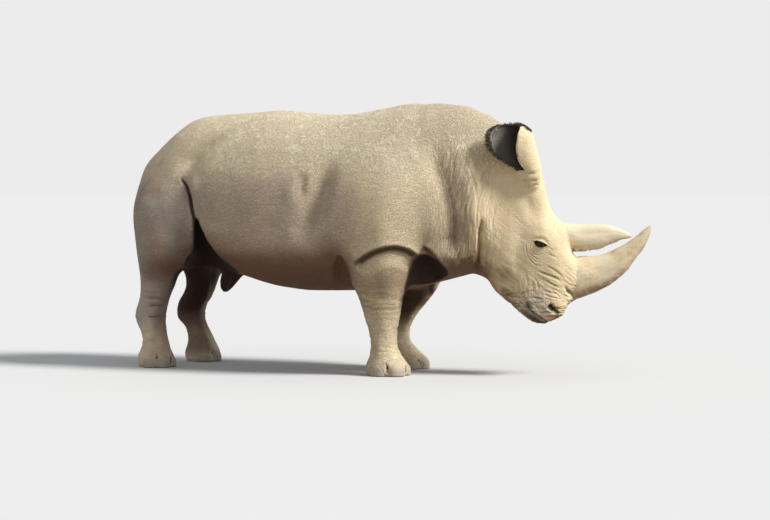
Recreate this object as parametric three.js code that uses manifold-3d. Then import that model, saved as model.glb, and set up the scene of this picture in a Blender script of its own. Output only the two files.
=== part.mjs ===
// A white rhinoceros bull, life size, standing with its head held low and turned a little to its left.
// Millimetres. +X points from tail to head, +Y to the animal's left, +Z up, and the soles stand on z = 0.
//
// The flesh is one smooth body: the zero surface of a distance-like function, made of lofted
// outlines and ellipsoids that melt into one another. It is meshed on a grid, then parted by thin cuts into
// trunk, neck, head, lower jaw, legs and feet. Horns, eyes, ears, nails, sheath and tail are separate solids
// let into that body.
import * as THREE from "three";
import { mergeVertices } from "three/addons/utils/BufferGeometryUtils.js";
import Module from "manifold-3d";

const wasm = await Module();
wasm.setup();

// ---------------------------------------------------------------- driving dimensions
const GAP = 0.4; // clearance between touching pieces
const WELD = 0.05; // edges shorter than this are closed up
const FORE_X = 780; // middle of the forelegs, ahead of the middle of the wheelbase
const HIND_X = -850;
const TRACK = 255; // sole centres, each side of the middle
const HEAD_YAW = 16; // degrees that the head is turned to the left
const HEAD_PIVOT_X = 1400; // where the skull meets the neck
const HEAD_PITCH = 72; // degrees that the head's long axis points below the horizontal
const HEAD_ORIGIN = [100, 1400]; // start of the head's long axis, ahead of the pivot and above the floor
const EYE_RADIUS = 21;
const EAR_WALL = 11;
const NAIL_SPREAD = 62; // degrees between neighbouring toes

// Grid cells along x, y and z, by how fine the region's forms are.
const CELL = {
  trunk: [175, 128, 128],
  neck: [120, 118, 125],
  head: [75, 66, 75],
  jaw: [60, 60, 60],
  leg: [86, 82, 98],
  foot: [78, 78, 56],
};

// The boxes that the body's skin is meshed in, by their low and high corners.
const REGION = {
  trunk: [[-1330, -760, 200], [1400, 760, 1980]],
  neck: [[860, -700, 300], [1640, 700, 1980]],
  head: [[1180, -420, 180], [2060, 760, 1760]],
  jaw: [[1480, -300, 180], [2000, 600, 700]],
};
const LEG_REACH = [480, 430]; // the same for a leg, each side of its middle
const LEG_HEIGHTS = [-60, 1400];
const FOOT_HEIGHTS = [-140, 330];

// How widely the joints between the body's forms are rounded over.
const BLEND = { muscle: 130, face: 55, head: 120, leg: 110 };

const LOOK = {
  hide: { color: 0xb09b7c, roughness: 0.95 },
  belly: { color: 0x8d7358, roughness: 0.85 },
  horn: { color: 0xc2a77c, roughness: 0.62 },
  nail: { color: 0x9c8d78, roughness: 0.6 },
  eye: { color: 0x1d1511, roughness: 0.12 },
  ear: { color: 0x8f8172, roughness: 0.9 },
  tuft: { color: 0x2d2520, roughness: 0.8 },
};

// ---------------------------------------------------------------- distance-like functions
const rad = THREE.MathUtils.degToRad;

// A smooth curve through rows of numbers, whose first number is the place along the curve.
function throughRows(rows) {
  const places = rows.map((row) => row[0]);
  const size = rows[0].length - 1;
  const curve = new THREE.CubicInterpolant(places, rows.flatMap((row) => row.slice(1)), size);
  const [first, last] = [places[0], places.at(-1)];
  return (at) => curve.evaluate(THREE.MathUtils.clamp(at, first, last));
}

// A body lofted along the local x axis.
// Rows are [x, high z, low z, half width, z of the widest line, side shift].
// Its ends are closed by half ellipsoids that reach `caps` past the first and last row.
function loft(rows, { frame = new THREE.Matrix4(), caps, power = 2.2 }) {
  const outline = throughRows(rows);
  const [first, last] = [rows[0][0], rows.at(-1)[0]];
  const toLocal = frame.clone().invert();
  const local = new THREE.Vector3();
  return (point) => {
    local.copy(point).applyMatrix4(toLocal);
    const [high, low, half, widest, shift] = outline(local.x);
    const before = Math.max(first - local.x, 0);
    const after = Math.max(local.x - last, 0);
    const up = local.z - widest;
    const side = local.y - shift;
    const reach = up > 0 ? high - widest : widest - low;
    const share =
      (Math.abs(side) / half) ** power +
      (Math.abs(up) / reach) ** power +
      (before / caps[0] + after / caps[1]) ** power;
    return distance(Math.hypot(side, up, before + after), share ** (1 / power), Math.min(half, reach));
  };
}

// An ellipsoid at a centre, with three radii along the frame's axes.
function ellipsoid(centre, radii, frame = new THREE.Matrix4()) {
  const toLocal = frame.clone().multiply(new THREE.Matrix4().makeTranslation(...centre)).invert();
  const local = new THREE.Vector3();
  return (point) => {
    local.copy(point).applyMatrix4(toLocal);
    const share = Math.hypot(local.x / radii[0], local.y / radii[1], local.z / radii[2]);
    return distance(local.length(), share, Math.min(...radii));
  };
}

// Signed distance along the ray from the middle, where `share` is 1 on the surface.
function distance(fromMiddle, share, least) {
  return share < 1e-6 ? -least : (fromMiddle / share) * (share - 1);
}

// The union of two bodies whose joint is rounded over about `blend`.
function melt(a, b, blend) {
  const near = Math.max(blend - Math.abs(a - b), 0) / blend;
  return Math.min(a, b) - (near * near * blend) / 4;
}

// Both sides of the animal, from one side's function maker.
const sides = (make) => [make(1), make(-1)];

// ---------------------------------------------------------------- trunk and neck
// [x, back, belly, half width, height of the widest line, shift to the left]
const TRUNK_ROWS = [
  [-925, 1425, 800, 262, 1090, 0],
  [-800, 1534, 725, 342, 1070, 0],
  [-640, 1640, 670, 420, 1035, 0],
  [-420, 1668, 640, 470, 1010, 0],
  [-200, 1680, 580, 500, 990, 0],
  [0, 1692, 530, 518, 970, 0],
  [200, 1668, 512, 520, 960, 0],
  [400, 1654, 516, 505, 960, 0],
  [600, 1674, 522, 470, 980, 0],
  [800, 1716, 530, 425, 1010, 0],
  [960, 1727, 552, 385, 1050, 0],
  [1110, 1722, 592, 345, 1080, 4],
  [1260, 1697, 634, 296, 1090, 14],
  [1370, 1655, 690, 252, 1100, 30],
  [1450, 1590, 800, 205, 1110, 48],
];
const trunk = loft(TRUNK_ROWS, { caps: [104, 95], power: 2.15 });

// Muscle over the shoulder blades and hips, and the broad root of the neck behind the jaw.
const MUSCLES = [
  ...sides((y) => ellipsoid([745, y * 285, 1010], [285, 195, 400])),
  ...sides((y) => ellipsoid([-765, y * 218, 965], [200, 186, 400])),
  ...sides((y) => ellipsoid([1180, y * 180, 1010], [260, 150, 340])),
];

// ---------------------------------------------------------------- legs
// [height, front x, back x, half width, x of the widest line, y of the middle], x from the leg's own middle
const FORE_ROWS = [
  [0, 158, -104, 126, 25, 0],
  [50, 168, -112, 138, 25, 0],
  [110, 130, -92, 118, 15, 2],
  [170, 92, -80, 102, 4, 5],
  [235, 84, -82, 98, 0, 8],
  [350, 110, -112, 110, -8, 14],
  [470, 130, -144, 128, -12, 26],
  [600, 158, -176, 146, -12, 38],
  [720, 184, -190, 164, -5, 46],
  [850, 212, -205, 172, 0, 48],
];
const HIND_ROWS = [
  [0, 124, -112, 106, 8, 0],
  [50, 136, -122, 116, 8, 0],
  [110, 106, -100, 100, 0, 2],
  [200, 86, -84, 84, 0, 6],
  [330, 80, -144, 88, -30, 12],
  [450, 112, -102, 92, 0, 16],
  [560, 142, -80, 106, 30, 26],
  [640, 184, -76, 132, 54, 36],
  [730, 238, -78, 162, 78, 44],
  [860, 262, -80, 184, 86, 46],
  [1000, 262, -100, 188, 76, 40],
];

// How a foot set ahead of or behind the leg's usual place bends the leg: [height, share of the stride].
const FORE_SWING = throughRows([
  [0, 0.6],
  [60, 0.7],
  [200, 1.28],
  [330, 1.05],
  [480, 0.1],
  [590, -0.2],
  [850, 0],
]);
const HIND_SWING = throughRows([
  [0, 1],
  [150, 0.85],
  [330, 0.12],
  [470, 0.5],
  [620, 0.7],
  [1000, 0.1],
]);

const LEGS = [
  { name: "fore_right", rows: FORE_ROWS, x: FORE_X, side: -1, stride: 0, swing: FORE_SWING, toe: -36 },
  { name: "fore_left", rows: FORE_ROWS, x: FORE_X, side: 1, stride: -95, swing: FORE_SWING, toe: -4 },
  { name: "hind_right", rows: HIND_ROWS, x: HIND_X, side: -1, stride: 0, swing: HIND_SWING, toe: -38 },
  { name: "hind_left", rows: HIND_ROWS, x: HIND_X, side: 1, stride: 88, swing: HIND_SWING, toe: -2 },
];

// A leg's loft runs up its own x axis, which stands along the world's z; its own z is the world's x.
function legField({ rows, x, side, stride, swing }) {
  const placed = rows.map(([height, front, back, half, widest, out]) => {
    const move = stride * swing(height)[0];
    return [height, front + move, back + move, half, widest + move, -side * out];
  });
  const upright = new THREE.Matrix4().makeBasis(
    new THREE.Vector3(0, 0, 1),
    new THREE.Vector3(0, -1, 0),
    new THREE.Vector3(1, 0, 0),
  );
  upright.setPosition(x, side * TRACK, 0);
  return loft(placed, { frame: upright, caps: [60, 210], power: 2.1 });
}
const legFields = LEGS.map(legField);

// ---------------------------------------------------------------- head
// The head's level frame: x forward from the pivot, y left, z up from the floor.
const headLevel = new THREE.Matrix4().makeRotationZ(rad(HEAD_YAW)).setPosition(HEAD_PIVOT_X, 0, 0);
// The head's own frame: x down the long axis towards the lips, y left, z towards the forehead and horns.
const headFrame = headLevel
  .clone()
  .multiply(new THREE.Matrix4().makeTranslation(HEAD_ORIGIN[0], 0, HEAD_ORIGIN[1]))
  .multiply(new THREE.Matrix4().makeRotationY(rad(HEAD_PITCH)));

// [along, forehead side, jaw side, half width, widest line, shift]
const HEAD_ROWS = [
  [0, 140, -300, 158, -60, 0],
  [140, 178, -310, 182, -40, 0],
  [300, 166, -318, 190, -40, 0],
  [430, 162, -330, 196, -40, 0],
  [530, 190, -338, 202, -20, 0],
  [610, 192, -346, 200, -10, 0],
  [700, 190, -352, 182, -20, 0],
  [780, 222, -342, 165, -40, 0],
  [860, 204, -298, 156, -50, 0],
  [940, 160, -250, 152, -50, 0],
  [1010, 104, -206, 150, -60, 0],
  [1060, 26, -168, 138, -68, 0],
];
const skull = loft(HEAD_ROWS, { frame: headFrame, caps: [90, 34], power: 2.5 });

const HEAD_FORMS = [
  ...sides((y) => ellipsoid([540, y * 120, -190], [215, 84, 150], headFrame)), // cheek
  ...sides((y) => ellipsoid([560, y * 152, 66], [92, 46, 50], headFrame)), // brow
  ...sides((y) => ellipsoid([1006, y * 96, 12], [74, 52, 66], headFrame)), // nostril
  ellipsoid([880, 0, 150], [135, 118, 62], headFrame), // boss of the front horn
  ellipsoid([606, 0, 160], [100, 92, 50], headFrame), // boss of the rear horn
  ...sides((y) => ellipsoid([250, y * 134, 70], [110, 66, 84], headFrame)), // root of the ear
];

// ---------------------------------------------------------------- the whole body
function body(point) {
  let value = trunk(point);
  for (const muscle of MUSCLES) value = melt(value, muscle(point), BLEND.muscle);
  let head = skull(point);
  for (const form of HEAD_FORMS) head = melt(head, form(point), BLEND.face);
  value = melt(value, head, BLEND.head);
  for (const leg of legFields) value = melt(value, leg(point), BLEND.leg);
  return value;
}

// The direction in which the body's function grows fastest, and how fast.
function slope(point, step = 2) {
  const along = (x, y, z) =>
    body(new THREE.Vector3(point.x + x, point.y + y, point.z + z)) -
    body(new THREE.Vector3(point.x - x, point.y - y, point.z - z));
  return new THREE.Vector3(along(step, 0, 0), along(0, step, 0), along(0, 0, step)).divideScalar(2 * step);
}

// The first point of the skin met from `start`, inside the body, along `direction`.
function skinAlong(start, direction, step = 4) {
  const point = start.clone();
  while (body(point) < 0) point.addScaledVector(direction, step);
  for (let half = step / 2; half > 0.05; half /= 2) {
    point.addScaledVector(direction, body(point) > 0 ? -half : half);
  }
  return point;
}

// ---------------------------------------------------------------- meshing
// A closed net of the body inside a box, one vertex to each grid cell that the skin crosses, then grown.
function netOf(box, cell, grow = 0) {
  const low = box.min;
  const sizes = box.getSize(new THREE.Vector3()).toArray();
  const count = sizes.map((size, axis) => Math.ceil(size / cell[axis]) + 1);
  const index = (i, j, k) => (i * count[1] + j) * count[2] + k;
  const place = (i, j, k) => new THREE.Vector3(low.x + i * cell[0], low.y + j * cell[1], low.z + k * cell[2]);
  const least = Math.min(...cell);
  const values = new Float64Array(count[0] * count[1] * count[2]);
  const rim = (i, n) => i === 0 || i === n - 1;
  for (let i = 0; i < count[0]; i++)
    for (let j = 0; j < count[1]; j++)
      for (let k = 0; k < count[2]; k++) {
        const outside = rim(i, count[0]) || rim(j, count[1]) || rim(k, count[2]);
        const value = body(place(i, j, k));
        values[index(i, j, k)] = outside ? Math.max(value, least / 2) : value;
      }

  const corners = [0, 1].flatMap((a) => [0, 1].flatMap((b) => [0, 1].map((c) => [a, b, c])));
  const beside = (a, b) => Math.hypot(a[0] - b[0], a[1] - b[1], a[2] - b[2]) === 1;
  const edges = corners.flatMap((a, m) =>
    corners
      .slice(m + 1)
      .filter((b) => beside(a, b))
      .map((b) => [a, b]),
  );
  const vertices = [];
  const vertexOf = new Map();
  const inner = (i, n) => i > 0 && i < n - 2;
  for (let i = 0; i < count[0] - 1; i++)
    for (let j = 0; j < count[1] - 1; j++)
      for (let k = 0; k < count[2] - 1; k++) {
        const sum = new THREE.Vector3();
        let crossings = 0;
        for (const [a, b] of edges) {
          const va = values[index(i + a[0], j + a[1], k + a[2])];
          const vb = values[index(i + b[0], j + b[1], k + b[2])];
          if (va < 0 === vb < 0) continue;
          const start = place(i + a[0], j + a[1], k + a[2]);
          sum.add(start.lerp(place(i + b[0], j + b[1], k + b[2]), va / (va - vb)));
          crossings++;
        }
        if (!crossings) continue;
        const vertex = sum.divideScalar(crossings);
        if (inner(i, count[0]) && inner(j, count[1]) && inner(k, count[2])) settle(vertex, least);
        vertexOf.set(index(i, j, k), vertices.length);
        vertices.push(vertex);
      }

  // Two squares that meet at both ends of a diagonal are never both cut along it.
  const diagonals = new Set();
  const faces = [];
  const quad = (cells, turned) => {
    const [a, b, c, d] = cells.map((key) => vertexOf.get(key));
    const shortAC = vertices[a].distanceTo(vertices[c]) < vertices[b].distanceTo(vertices[d]);
    const used = (p, q) => diagonals.has(Math.min(p, q) + "_" + Math.max(p, q));
    const cutAC = shortAC ? !used(a, c) : used(b, d);
    const [from, to] = cutAC ? [a, c] : [b, d];
    diagonals.add(Math.min(from, to) + "_" + Math.max(from, to));
    const pair = cutAC ? [[a, b, c], [a, c, d]] : [[a, b, d], [b, c, d]];
    for (const face of pair) faces.push(...(turned ? face.reverse() : face));
  };
  for (let i = 0; i < count[0] - 1; i++)
    for (let j = 0; j < count[1] - 1; j++)
      for (let k = 0; k < count[2] - 1; k++) {
        const here = values[index(i, j, k)] < 0;
        const cross = (di, dj, dk) => here !== values[index(i + di, j + dj, k + dk)] < 0;
        if (j && k && cross(1, 0, 0))
          quad([index(i, j - 1, k - 1), index(i, j, k - 1), index(i, j, k), index(i, j - 1, k)], !here);
        if (i && k && cross(0, 1, 0))
          quad([index(i - 1, j, k - 1), index(i - 1, j, k), index(i, j, k), index(i, j, k - 1)], !here);
        if (i && j && cross(0, 0, 1))
          quad([index(i - 1, j - 1, k), index(i, j - 1, k), index(i, j, k), index(i - 1, j, k)], !here);
      }
  if (grow) for (const vertex of vertices) vertex.addScaledVector(slope(vertex).normalize(), grow);
  return solidFrom(vertices, faces);
}

// Moves a net vertex onto the skin, by less than a cell.
function settle(vertex, cell) {
  const start = vertex.clone();
  for (let turn = 0; turn < 4; turn++) {
    const uphill = slope(vertex);
    const steep = Math.max(uphill.lengthSq(), 0.2);
    vertex.addScaledVector(uphill, -body(vertex) / steep);
  }
  if (vertex.distanceTo(start) > cell * 0.7) vertex.copy(start);
}

function solidFrom(vertices, faces) {
  const mesh = new wasm.Mesh({
    numProp: 3,
    vertProperties: new Float32Array(vertices.flatMap((v) => v.toArray())),
    triVerts: new Uint32Array(faces),
  });
  return new wasm.Manifold(mesh);
}

// A three.js geometry as a solid.
function solidOf(geometry, matrix = new THREE.Matrix4()) {
  const bare = new THREE.BufferGeometry()
    .setAttribute("position", (geometry.index ? geometry.toNonIndexed() : geometry).getAttribute("position"))
    .applyMatrix4(matrix);
  const merged = mergeVertices(bare, 1e-3);
  return new wasm.Manifold(
    new wasm.Mesh({
      numProp: 3,
      vertProperties: merged.attributes.position.array,
      triVerts: new Uint32Array(merged.index.array),
    }),
  );
}

// A solid's surface, with the hair-thin edges that cutting leaves drawn together.
function geometryOf(solid) {
  const { vertProperties, triVerts } = solid.getMesh();
  const position = new THREE.BufferAttribute(new Float32Array(vertProperties), 3);
  const keeper = Array.from({ length: position.count }, (_, i) => i);
  const kept = (i) => (keeper[i] === i ? i : (keeper[i] = kept(keeper[i])));
  const point = (i) => new THREE.Vector3().fromBufferAttribute(position, i);
  for (let i = 0; i < triVerts.length; i++) {
    const [a, b] = [triVerts[i], triVerts[i % 3 === 2 ? i - 2 : i + 1]];
    if (a < b && point(a).distanceTo(point(b)) < WELD) keeper[kept(b)] = kept(a);
  }
  const index = [];
  for (let i = 0; i < triVerts.length; i += 3) {
    const face = [0, 1, 2].map((corner) => kept(triVerts[i + corner]));
    if (new Set(face).size === 3) index.push(...face);
  }
  const geometry = new THREE.BufferGeometry().setAttribute("position", position).setIndex(index);
  geometry.computeVertexNormals();
  return geometry;
}

// ---------------------------------------------------------------- cutting tools
const FAR = 4000;

// Everything on the side of a plane that `normal` points to, held back from the plane by half the gap.
function beyond(point, normal, hold = GAP / 2) {
  const up = new THREE.Vector3(0, 0, 1);
  const turn = new THREE.Quaternion().setFromUnitVectors(up, normal.clone().normalize());
  const matrix = new THREE.Matrix4()
    .makeTranslation(point)
    .multiply(new THREE.Matrix4().makeRotationFromQuaternion(turn))
    .multiply(new THREE.Matrix4().makeTranslation(0, 0, FAR / 2 + hold));
  return solidOf(new THREE.BoxGeometry(FAR, FAR, FAR), matrix);
}
const above = (height) => beyond(new THREE.Vector3(0, 0, height), new THREE.Vector3(0, 0, 1));
const below = (height) => beyond(new THREE.Vector3(0, 0, height), new THREE.Vector3(0, 0, -1));

// A tall rounded post around a leg, domed inside the trunk, grown by a margin.
const LEG_POST = {
  fore: { x: 5, out: 58, radii: [232, 200], top: 905 },
  hind: { x: 66, out: 50, radii: [226, 214], top: 1180 },
};
function legPost({ name, x, side }, grow) {
  const post = LEG_POST[name.split("_")[0]];
  const [rx, ry] = post.radii;
  const height = post.top + 400;
  const capsule = new THREE.CapsuleGeometry(1, height / rx, 3, 16).rotateX(Math.PI / 2);
  const matrix = new THREE.Matrix4()
    .makeTranslation(x + post.x, side * (TRACK + post.out), post.top - rx - height / 2)
    .scale(new THREE.Vector3(rx + grow, ry + grow, rx + grow));
  return solidOf(capsule, matrix);
}

// Planes between the trunk, the neck and the head, and along the mouth.
const onHead = (x, y, z) => new THREE.Vector3(x, y, z).applyMatrix4(headFrame);
const NECK_ROOT = { point: new THREE.Vector3(1045, 0, 1150), normal: new THREE.Vector3(1, 0, 0.14) };
const NAPE = {
  point: new THREE.Vector3(HEAD_PIVOT_X - 15, 0, 1150),
  normal: new THREE.Vector3(Math.cos(rad(HEAD_YAW * 0.8)), Math.sin(rad(HEAD_YAW * 0.8)), -0.02),
};
const back = ({ point, normal }) => beyond(point, normal.clone().negate());
const front = ({ point, normal }) => beyond(point, normal);

// The lower jaw's share of the head: below the mouth, from just behind the mouth's corner to the chin.
const MOUTH = { corner: [955, 0, -172], lips: [1092, 0, -66], behind: 25 };
function jawWedge(hold) {
  const corner = onHead(...MOUTH.corner);
  const along = onHead(...MOUTH.lips).sub(corner);
  const across = new THREE.Vector3(0, 1, 0).transformDirection(headFrame);
  const towardsChin = new THREE.Vector3(1, 0, 0).transformDirection(headFrame);
  const behind = corner.clone().addScaledVector(towardsChin, -MOUTH.behind);
  return beyond(corner, across.cross(along), hold).intersect(beyond(behind, towardsChin, hold));
}

// ---------------------------------------------------------------- horns, eyes, nails, ears, tail, sheath
// A closed solid swept along points, with an oval ring at each.
// Rows are [x, z, half height, half width] in the frame's own xz plane; rings stand square to the line.
function sweep(rows, { frame, grow = 0, around = 18, steps = 14 }) {
  const line = new THREE.SplineCurve(rows.map(([x, z]) => new THREE.Vector2(x, z)));
  const sizes = throughRows(rows.map(([, , high, wide], i) => [i / (rows.length - 1), high, wide]));
  const rings = [];
  for (let i = 0; i <= steps; i++) {
    const share = i / steps;
    const along = line.getTangent(share);
    const past = i === 0 ? -grow : i === steps ? grow : 0;
    const middle = line.getPoint(share).addScaledVector(along, past);
    const [high, wide] = sizes(share);
    rings.push(
      Array.from({ length: around }, (_, j) => {
        const angle = (j / around) * 2 * Math.PI;
        const up = Math.cos(angle) * (high + grow);
        return new THREE.Vector3(
          middle.x - along.y * up,
          Math.sin(angle) * (wide + grow),
          middle.y + along.x * up,
        ).applyMatrix4(frame);
      }),
    );
  }
  return tube(rings);
}

// A closed tube through rings of equal length, with a fan at each end.
function tube(rings) {
  const around = rings[0].length;
  const vertices = rings.flat();
  const faces = [];
  for (let i = 0; i < rings.length - 1; i++)
    for (let j = 0; j < around; j++) {
      const [a, b] = [i * around + j, i * around + ((j + 1) % around)];
      faces.push(a, a + around, b, b, a + around, b + around);
    }
  for (const [ring, turned] of [[0, true], [rings.length - 1, false]]) {
    const middle = rings[ring].reduce((sum, p) => sum.add(p), new THREE.Vector3()).divideScalar(around);
    const hub = vertices.push(middle) - 1;
    for (let j = 0; j < around; j++) {
      const [a, b] = [ring * around + j, ring * around + ((j + 1) % around)];
      faces.push(...(turned ? [hub, a, b] : [hub, b, a]));
    }
  }
  return facingOut(vertices, faces);
}

function facingOut(vertices, faces) {
  const made = solidFrom(vertices, faces);
  if (made.volume() > 0) return made;
  const turned = [];
  for (let i = 0; i < faces.length; i += 3) turned.push(faces[i], faces[i + 2], faces[i + 1]);
  return solidFrom(vertices, turned);
}

// [forward, up, half height, half width], in the head's level frame
const FRONT_HORN = [
  [500, 610, 134, 104],
  [560, 622, 130, 100],
  [683, 653, 108, 78],
  [790, 709, 85, 60],
  [868, 774, 61, 46],
  [931, 838, 45, 34],
  [977, 900, 28, 21],
  [1004, 944, 7, 6],
];
const REAR_HORN = [
  [430, 876, 82, 62],
  [490, 878, 80, 60],
  [569, 876, 77, 52],
  [664, 882, 73, 44],
  [746, 891, 57, 32],
  [815, 887, 38, 20],
  [886, 878, 6, 4],
];

const EYE_PLACE = [606, 38]; // along and across the head's own axis
const LID_COVER = 9; // how far the eyeball's front stands behind the skin's own line
function eye(side, grow) {
  const outward = new THREE.Vector3(0, side, 0).transformDirection(headFrame);
  const skin = skinAlong(onHead(EYE_PLACE[0], 0, EYE_PLACE[1]), outward);
  const centre = skin.addScaledVector(outward, LID_COVER - EYE_RADIUS);
  const ball = new THREE.SphereGeometry(EYE_RADIUS + grow, 10, 6);
  return solidOf(ball, new THREE.Matrix4().makeTranslation(centre));
}

// One nail: an upright oval let into the front of the foot, with a flat foot of its own.
const NAIL_CLEAR = 8; // height of a nail's lower edge
const NAIL_MIDDLE = 6; // height of the oval's middle
const NAIL_SET = 0.68; // share of its half depth that lies inside the foot
const SIDE_NAIL = 0.82; // size of an outer or inner nail beside the middle one
const TOE_HUB = [18, 30]; // where the toes spread from: ahead of the leg's middle, and height
const NAIL = { fore: [34, 60, 82], hind: [32, 50, 74] }; // half depth, half width, height
function nail(leg, toe, grow) {
  const kind = leg.name.split("_")[0];
  const [deep, wide, high] = NAIL[kind];
  const scale = toe === 0 ? 1 : SIDE_NAIL;
  const angle = rad(leg.toe + toe * NAIL_SPREAD * leg.side);
  const outward = new THREE.Vector3(Math.cos(angle), Math.sin(angle), 0);
  const sole = leg.x + leg.stride * leg.swing(0)[0];
  const skin = skinAlong(new THREE.Vector3(sole + TOE_HUB[0], leg.side * TRACK, TOE_HUB[1]), outward);
  const frame = new THREE.Matrix4().makeBasis(
    outward,
    new THREE.Vector3(-outward.y, outward.x, 0),
    new THREE.Vector3(0, 0, 1),
  );
  frame.setPosition(skin.addScaledVector(outward, -deep * NAIL_SET).setZ(NAIL_MIDDLE));
  frame.scale(new THREE.Vector3(deep + grow, wide * scale + grow, high * scale + grow));
  const whole = solidOf(new THREE.SphereGeometry(1, 10, 6).rotateX(Math.PI / 2), frame);
  return whole.intersect(above(NAIL_CLEAR - grow));
}

// An ear: a leaf rolled into a trumpet, a closed tube at its root and open outwards and behind above.
// Rows run up the ear in the head's level frame: height, forward, outward, half length, half breadth,
// and the two edges of the opening, in degrees from straight ahead, turning outwards.
const EAR_ROWS = [
  [1165, 262, 176, 66, 54, 100, 108],
  [1225, 258, 188, 64, 55, 96, 110],
  [1290, 246, 206, 76, 62, 86, 134],
  [1350, 196, 224, 110, 72, 68, 156],
  [1420, 158, 240, 132, 80, 56, 170],
  [1480, 146, 246, 131, 80, 46, 180],
  [1530, 138, 244, 118, 72, 26, 192],
  [1562, 134, 238, 90, 60, -8, 214],
  [1578, 132, 232, 58, 46, -30, 238],
];
// The solid root of the ear fills the tube up to this height.
const EAR_FLOOR = 1284;
const EAR_CROWD = 1.25; // how much closer together the rings are near the tip
function ear(side, { around = 9, steps = 7 } = {}) {
  const rows = throughRows(EAR_ROWS);
  const [lowest, highest] = [EAR_ROWS[0][0], EAR_ROWS.at(-1)[0]];
  const point = (height, share, inset) => {
    const [forward, outward, long, broad, front, rear] = rows(height);
    const angle = rad(THREE.MathUtils.lerp(rear, front + 360, share));
    const x = forward + (long - inset) * Math.cos(angle);
    const y = outward + (broad - inset) * Math.sin(angle);
    return new THREE.Vector3(x, side * y, height).applyMatrix4(headLevel);
  };
  const wall = (i, j, inset) =>
    point(THREE.MathUtils.lerp(lowest, highest, 1 - (1 - i / steps) ** EAR_CROWD), j / around, inset);
  const vertices = [];
  const faces = [];
  const at = (i, j, inner) => (i * (around + 1) + j) * 2 + inner;
  for (let i = 0; i <= steps; i++)
    for (let j = 0; j <= around; j++) vertices.push(wall(i, j, 0), wall(i, j, EAR_WALL));
  const quad = (a, b, c, d) => faces.push(a, b, c, a, c, d);
  for (let i = 0; i < steps; i++) {
    for (let j = 0; j < around; j++) {
      quad(at(i, j, 0), at(i, j + 1, 0), at(i + 1, j + 1, 0), at(i + 1, j, 0));
      quad(at(i, j + 1, 1), at(i, j, 1), at(i + 1, j, 1), at(i + 1, j + 1, 1));
    }
    quad(at(i, 0, 1), at(i, 0, 0), at(i + 1, 0, 0), at(i + 1, 0, 1));
    quad(at(i, around, 0), at(i, around, 1), at(i + 1, around, 1), at(i + 1, around, 0));
  }
  for (let j = 0; j < around; j++) {
    quad(at(0, j, 1), at(0, j + 1, 1), at(0, j + 1, 0), at(0, j, 0));
    quad(at(steps, j, 0), at(steps, j + 1, 0), at(steps, j + 1, 1), at(steps, j, 1));
  }
  const ring = (height) => Array.from({ length: 8 }, (_, j) => point(height, (j + 0.5) / 8, 1));
  return facingOut(vertices, faces).add(tube([lowest, EAR_FLOOR].map(ring)));
}

// [back x, height, half depth, half width]
const TAIL_ROWS = [
  [-960, 1330, 44, 62],
  [-1026, 1262, 40, 54],
  [-1070, 1170, 32, 40],
  [-1080, 1050, 26, 28],
  [-1076, 920, 20, 21],
  [-1068, 800, 16, 17],
  [-1062, 720, 14, 15],
];
const TUFT_ROWS = [
  [-1062, 716, 15, 16],
  [-1061, 670, 22, 30],
  [-1061, 610, 20, 30],
  [-1062, 550, 9, 14],
];
const SHEATH_ROWS = [
  [-370, 665, 74, 70],
  [-418, 604, 68, 60],
  [-448, 548, 54, 48],
  [-464, 506, 34, 34],
  [-471, 482, 14, 16],
];
const straight = new THREE.Matrix4();
const tail = (grow) => sweep(TAIL_ROWS, { frame: straight, grow, around: 8, steps: 10 });
const tuft = () => sweep(TUFT_ROWS, { frame: straight, around: 8, steps: 5 });
const sheath = (grow) => sweep(SHEATH_ROWS, { frame: straight, grow, around: 10, steps: 6 });

// ---------------------------------------------------------------- putting it together
const rhinoceros = new THREE.Group();

function add(name, solid, look) {
  const largest = solid.decompose().sort((a, b) => b.volume() - a.volume())[0];
  const mesh = new THREE.Mesh(geometryOf(largest), new THREE.MeshStandardMaterial(look));
  mesh.name = name;
  rhinoceros.add(mesh);
}

const boxOf = ([low, high]) => new THREE.Box3(new THREE.Vector3(...low), new THREE.Vector3(...high));
const SIDES = [["left", 1], ["right", -1]];

const HORNS = { horn_front: FRONT_HORN, horn_rear: REAR_HORN };
const horn = (rows, grow) => sweep(rows, { frame: headLevel, grow, around: 12, steps: 11 });

// The head, with sockets for the horns and eyes.
function head() {
  let solid = netOf(boxOf(REGION.head), CELL.head).intersect(front(NAPE)).subtract(jawWedge(-GAP / 2));
  for (const rows of Object.values(HORNS)) solid = solid.subtract(horn(rows, GAP));
  for (const [, side] of SIDES) solid = solid.subtract(eye(side, GAP));
  return solid;
}

function lowerJaw() {
  return netOf(boxOf(REGION.jaw), CELL.jaw).intersect(jawWedge(GAP / 2)).subtract(horn(FRONT_HORN, GAP));
}

function neck() {
  return netOf(boxOf(REGION.neck), CELL.neck).intersect(front(NECK_ROOT)).intersect(back(NAPE));
}

// The trunk, with sockets for the legs, the tail and the sheath.
function trunkSolid() {
  let solid = netOf(boxOf(REGION.trunk), CELL.trunk).intersect(back(NECK_ROOT));
  for (const leg of LEGS) solid = solid.subtract(legPost(leg, GAP));
  return solid.subtract(tail(GAP)).subtract(sheath(GAP));
}

// The body around one leg, between two heights.
function aroundLeg(leg, [low, high], cell) {
  const [x, y] = [leg.x, leg.side * TRACK];
  const [along, across] = LEG_REACH;
  return netOf(boxOf([[x - along, y - across, low], [x + along, y + across, high]]), cell);
}

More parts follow.
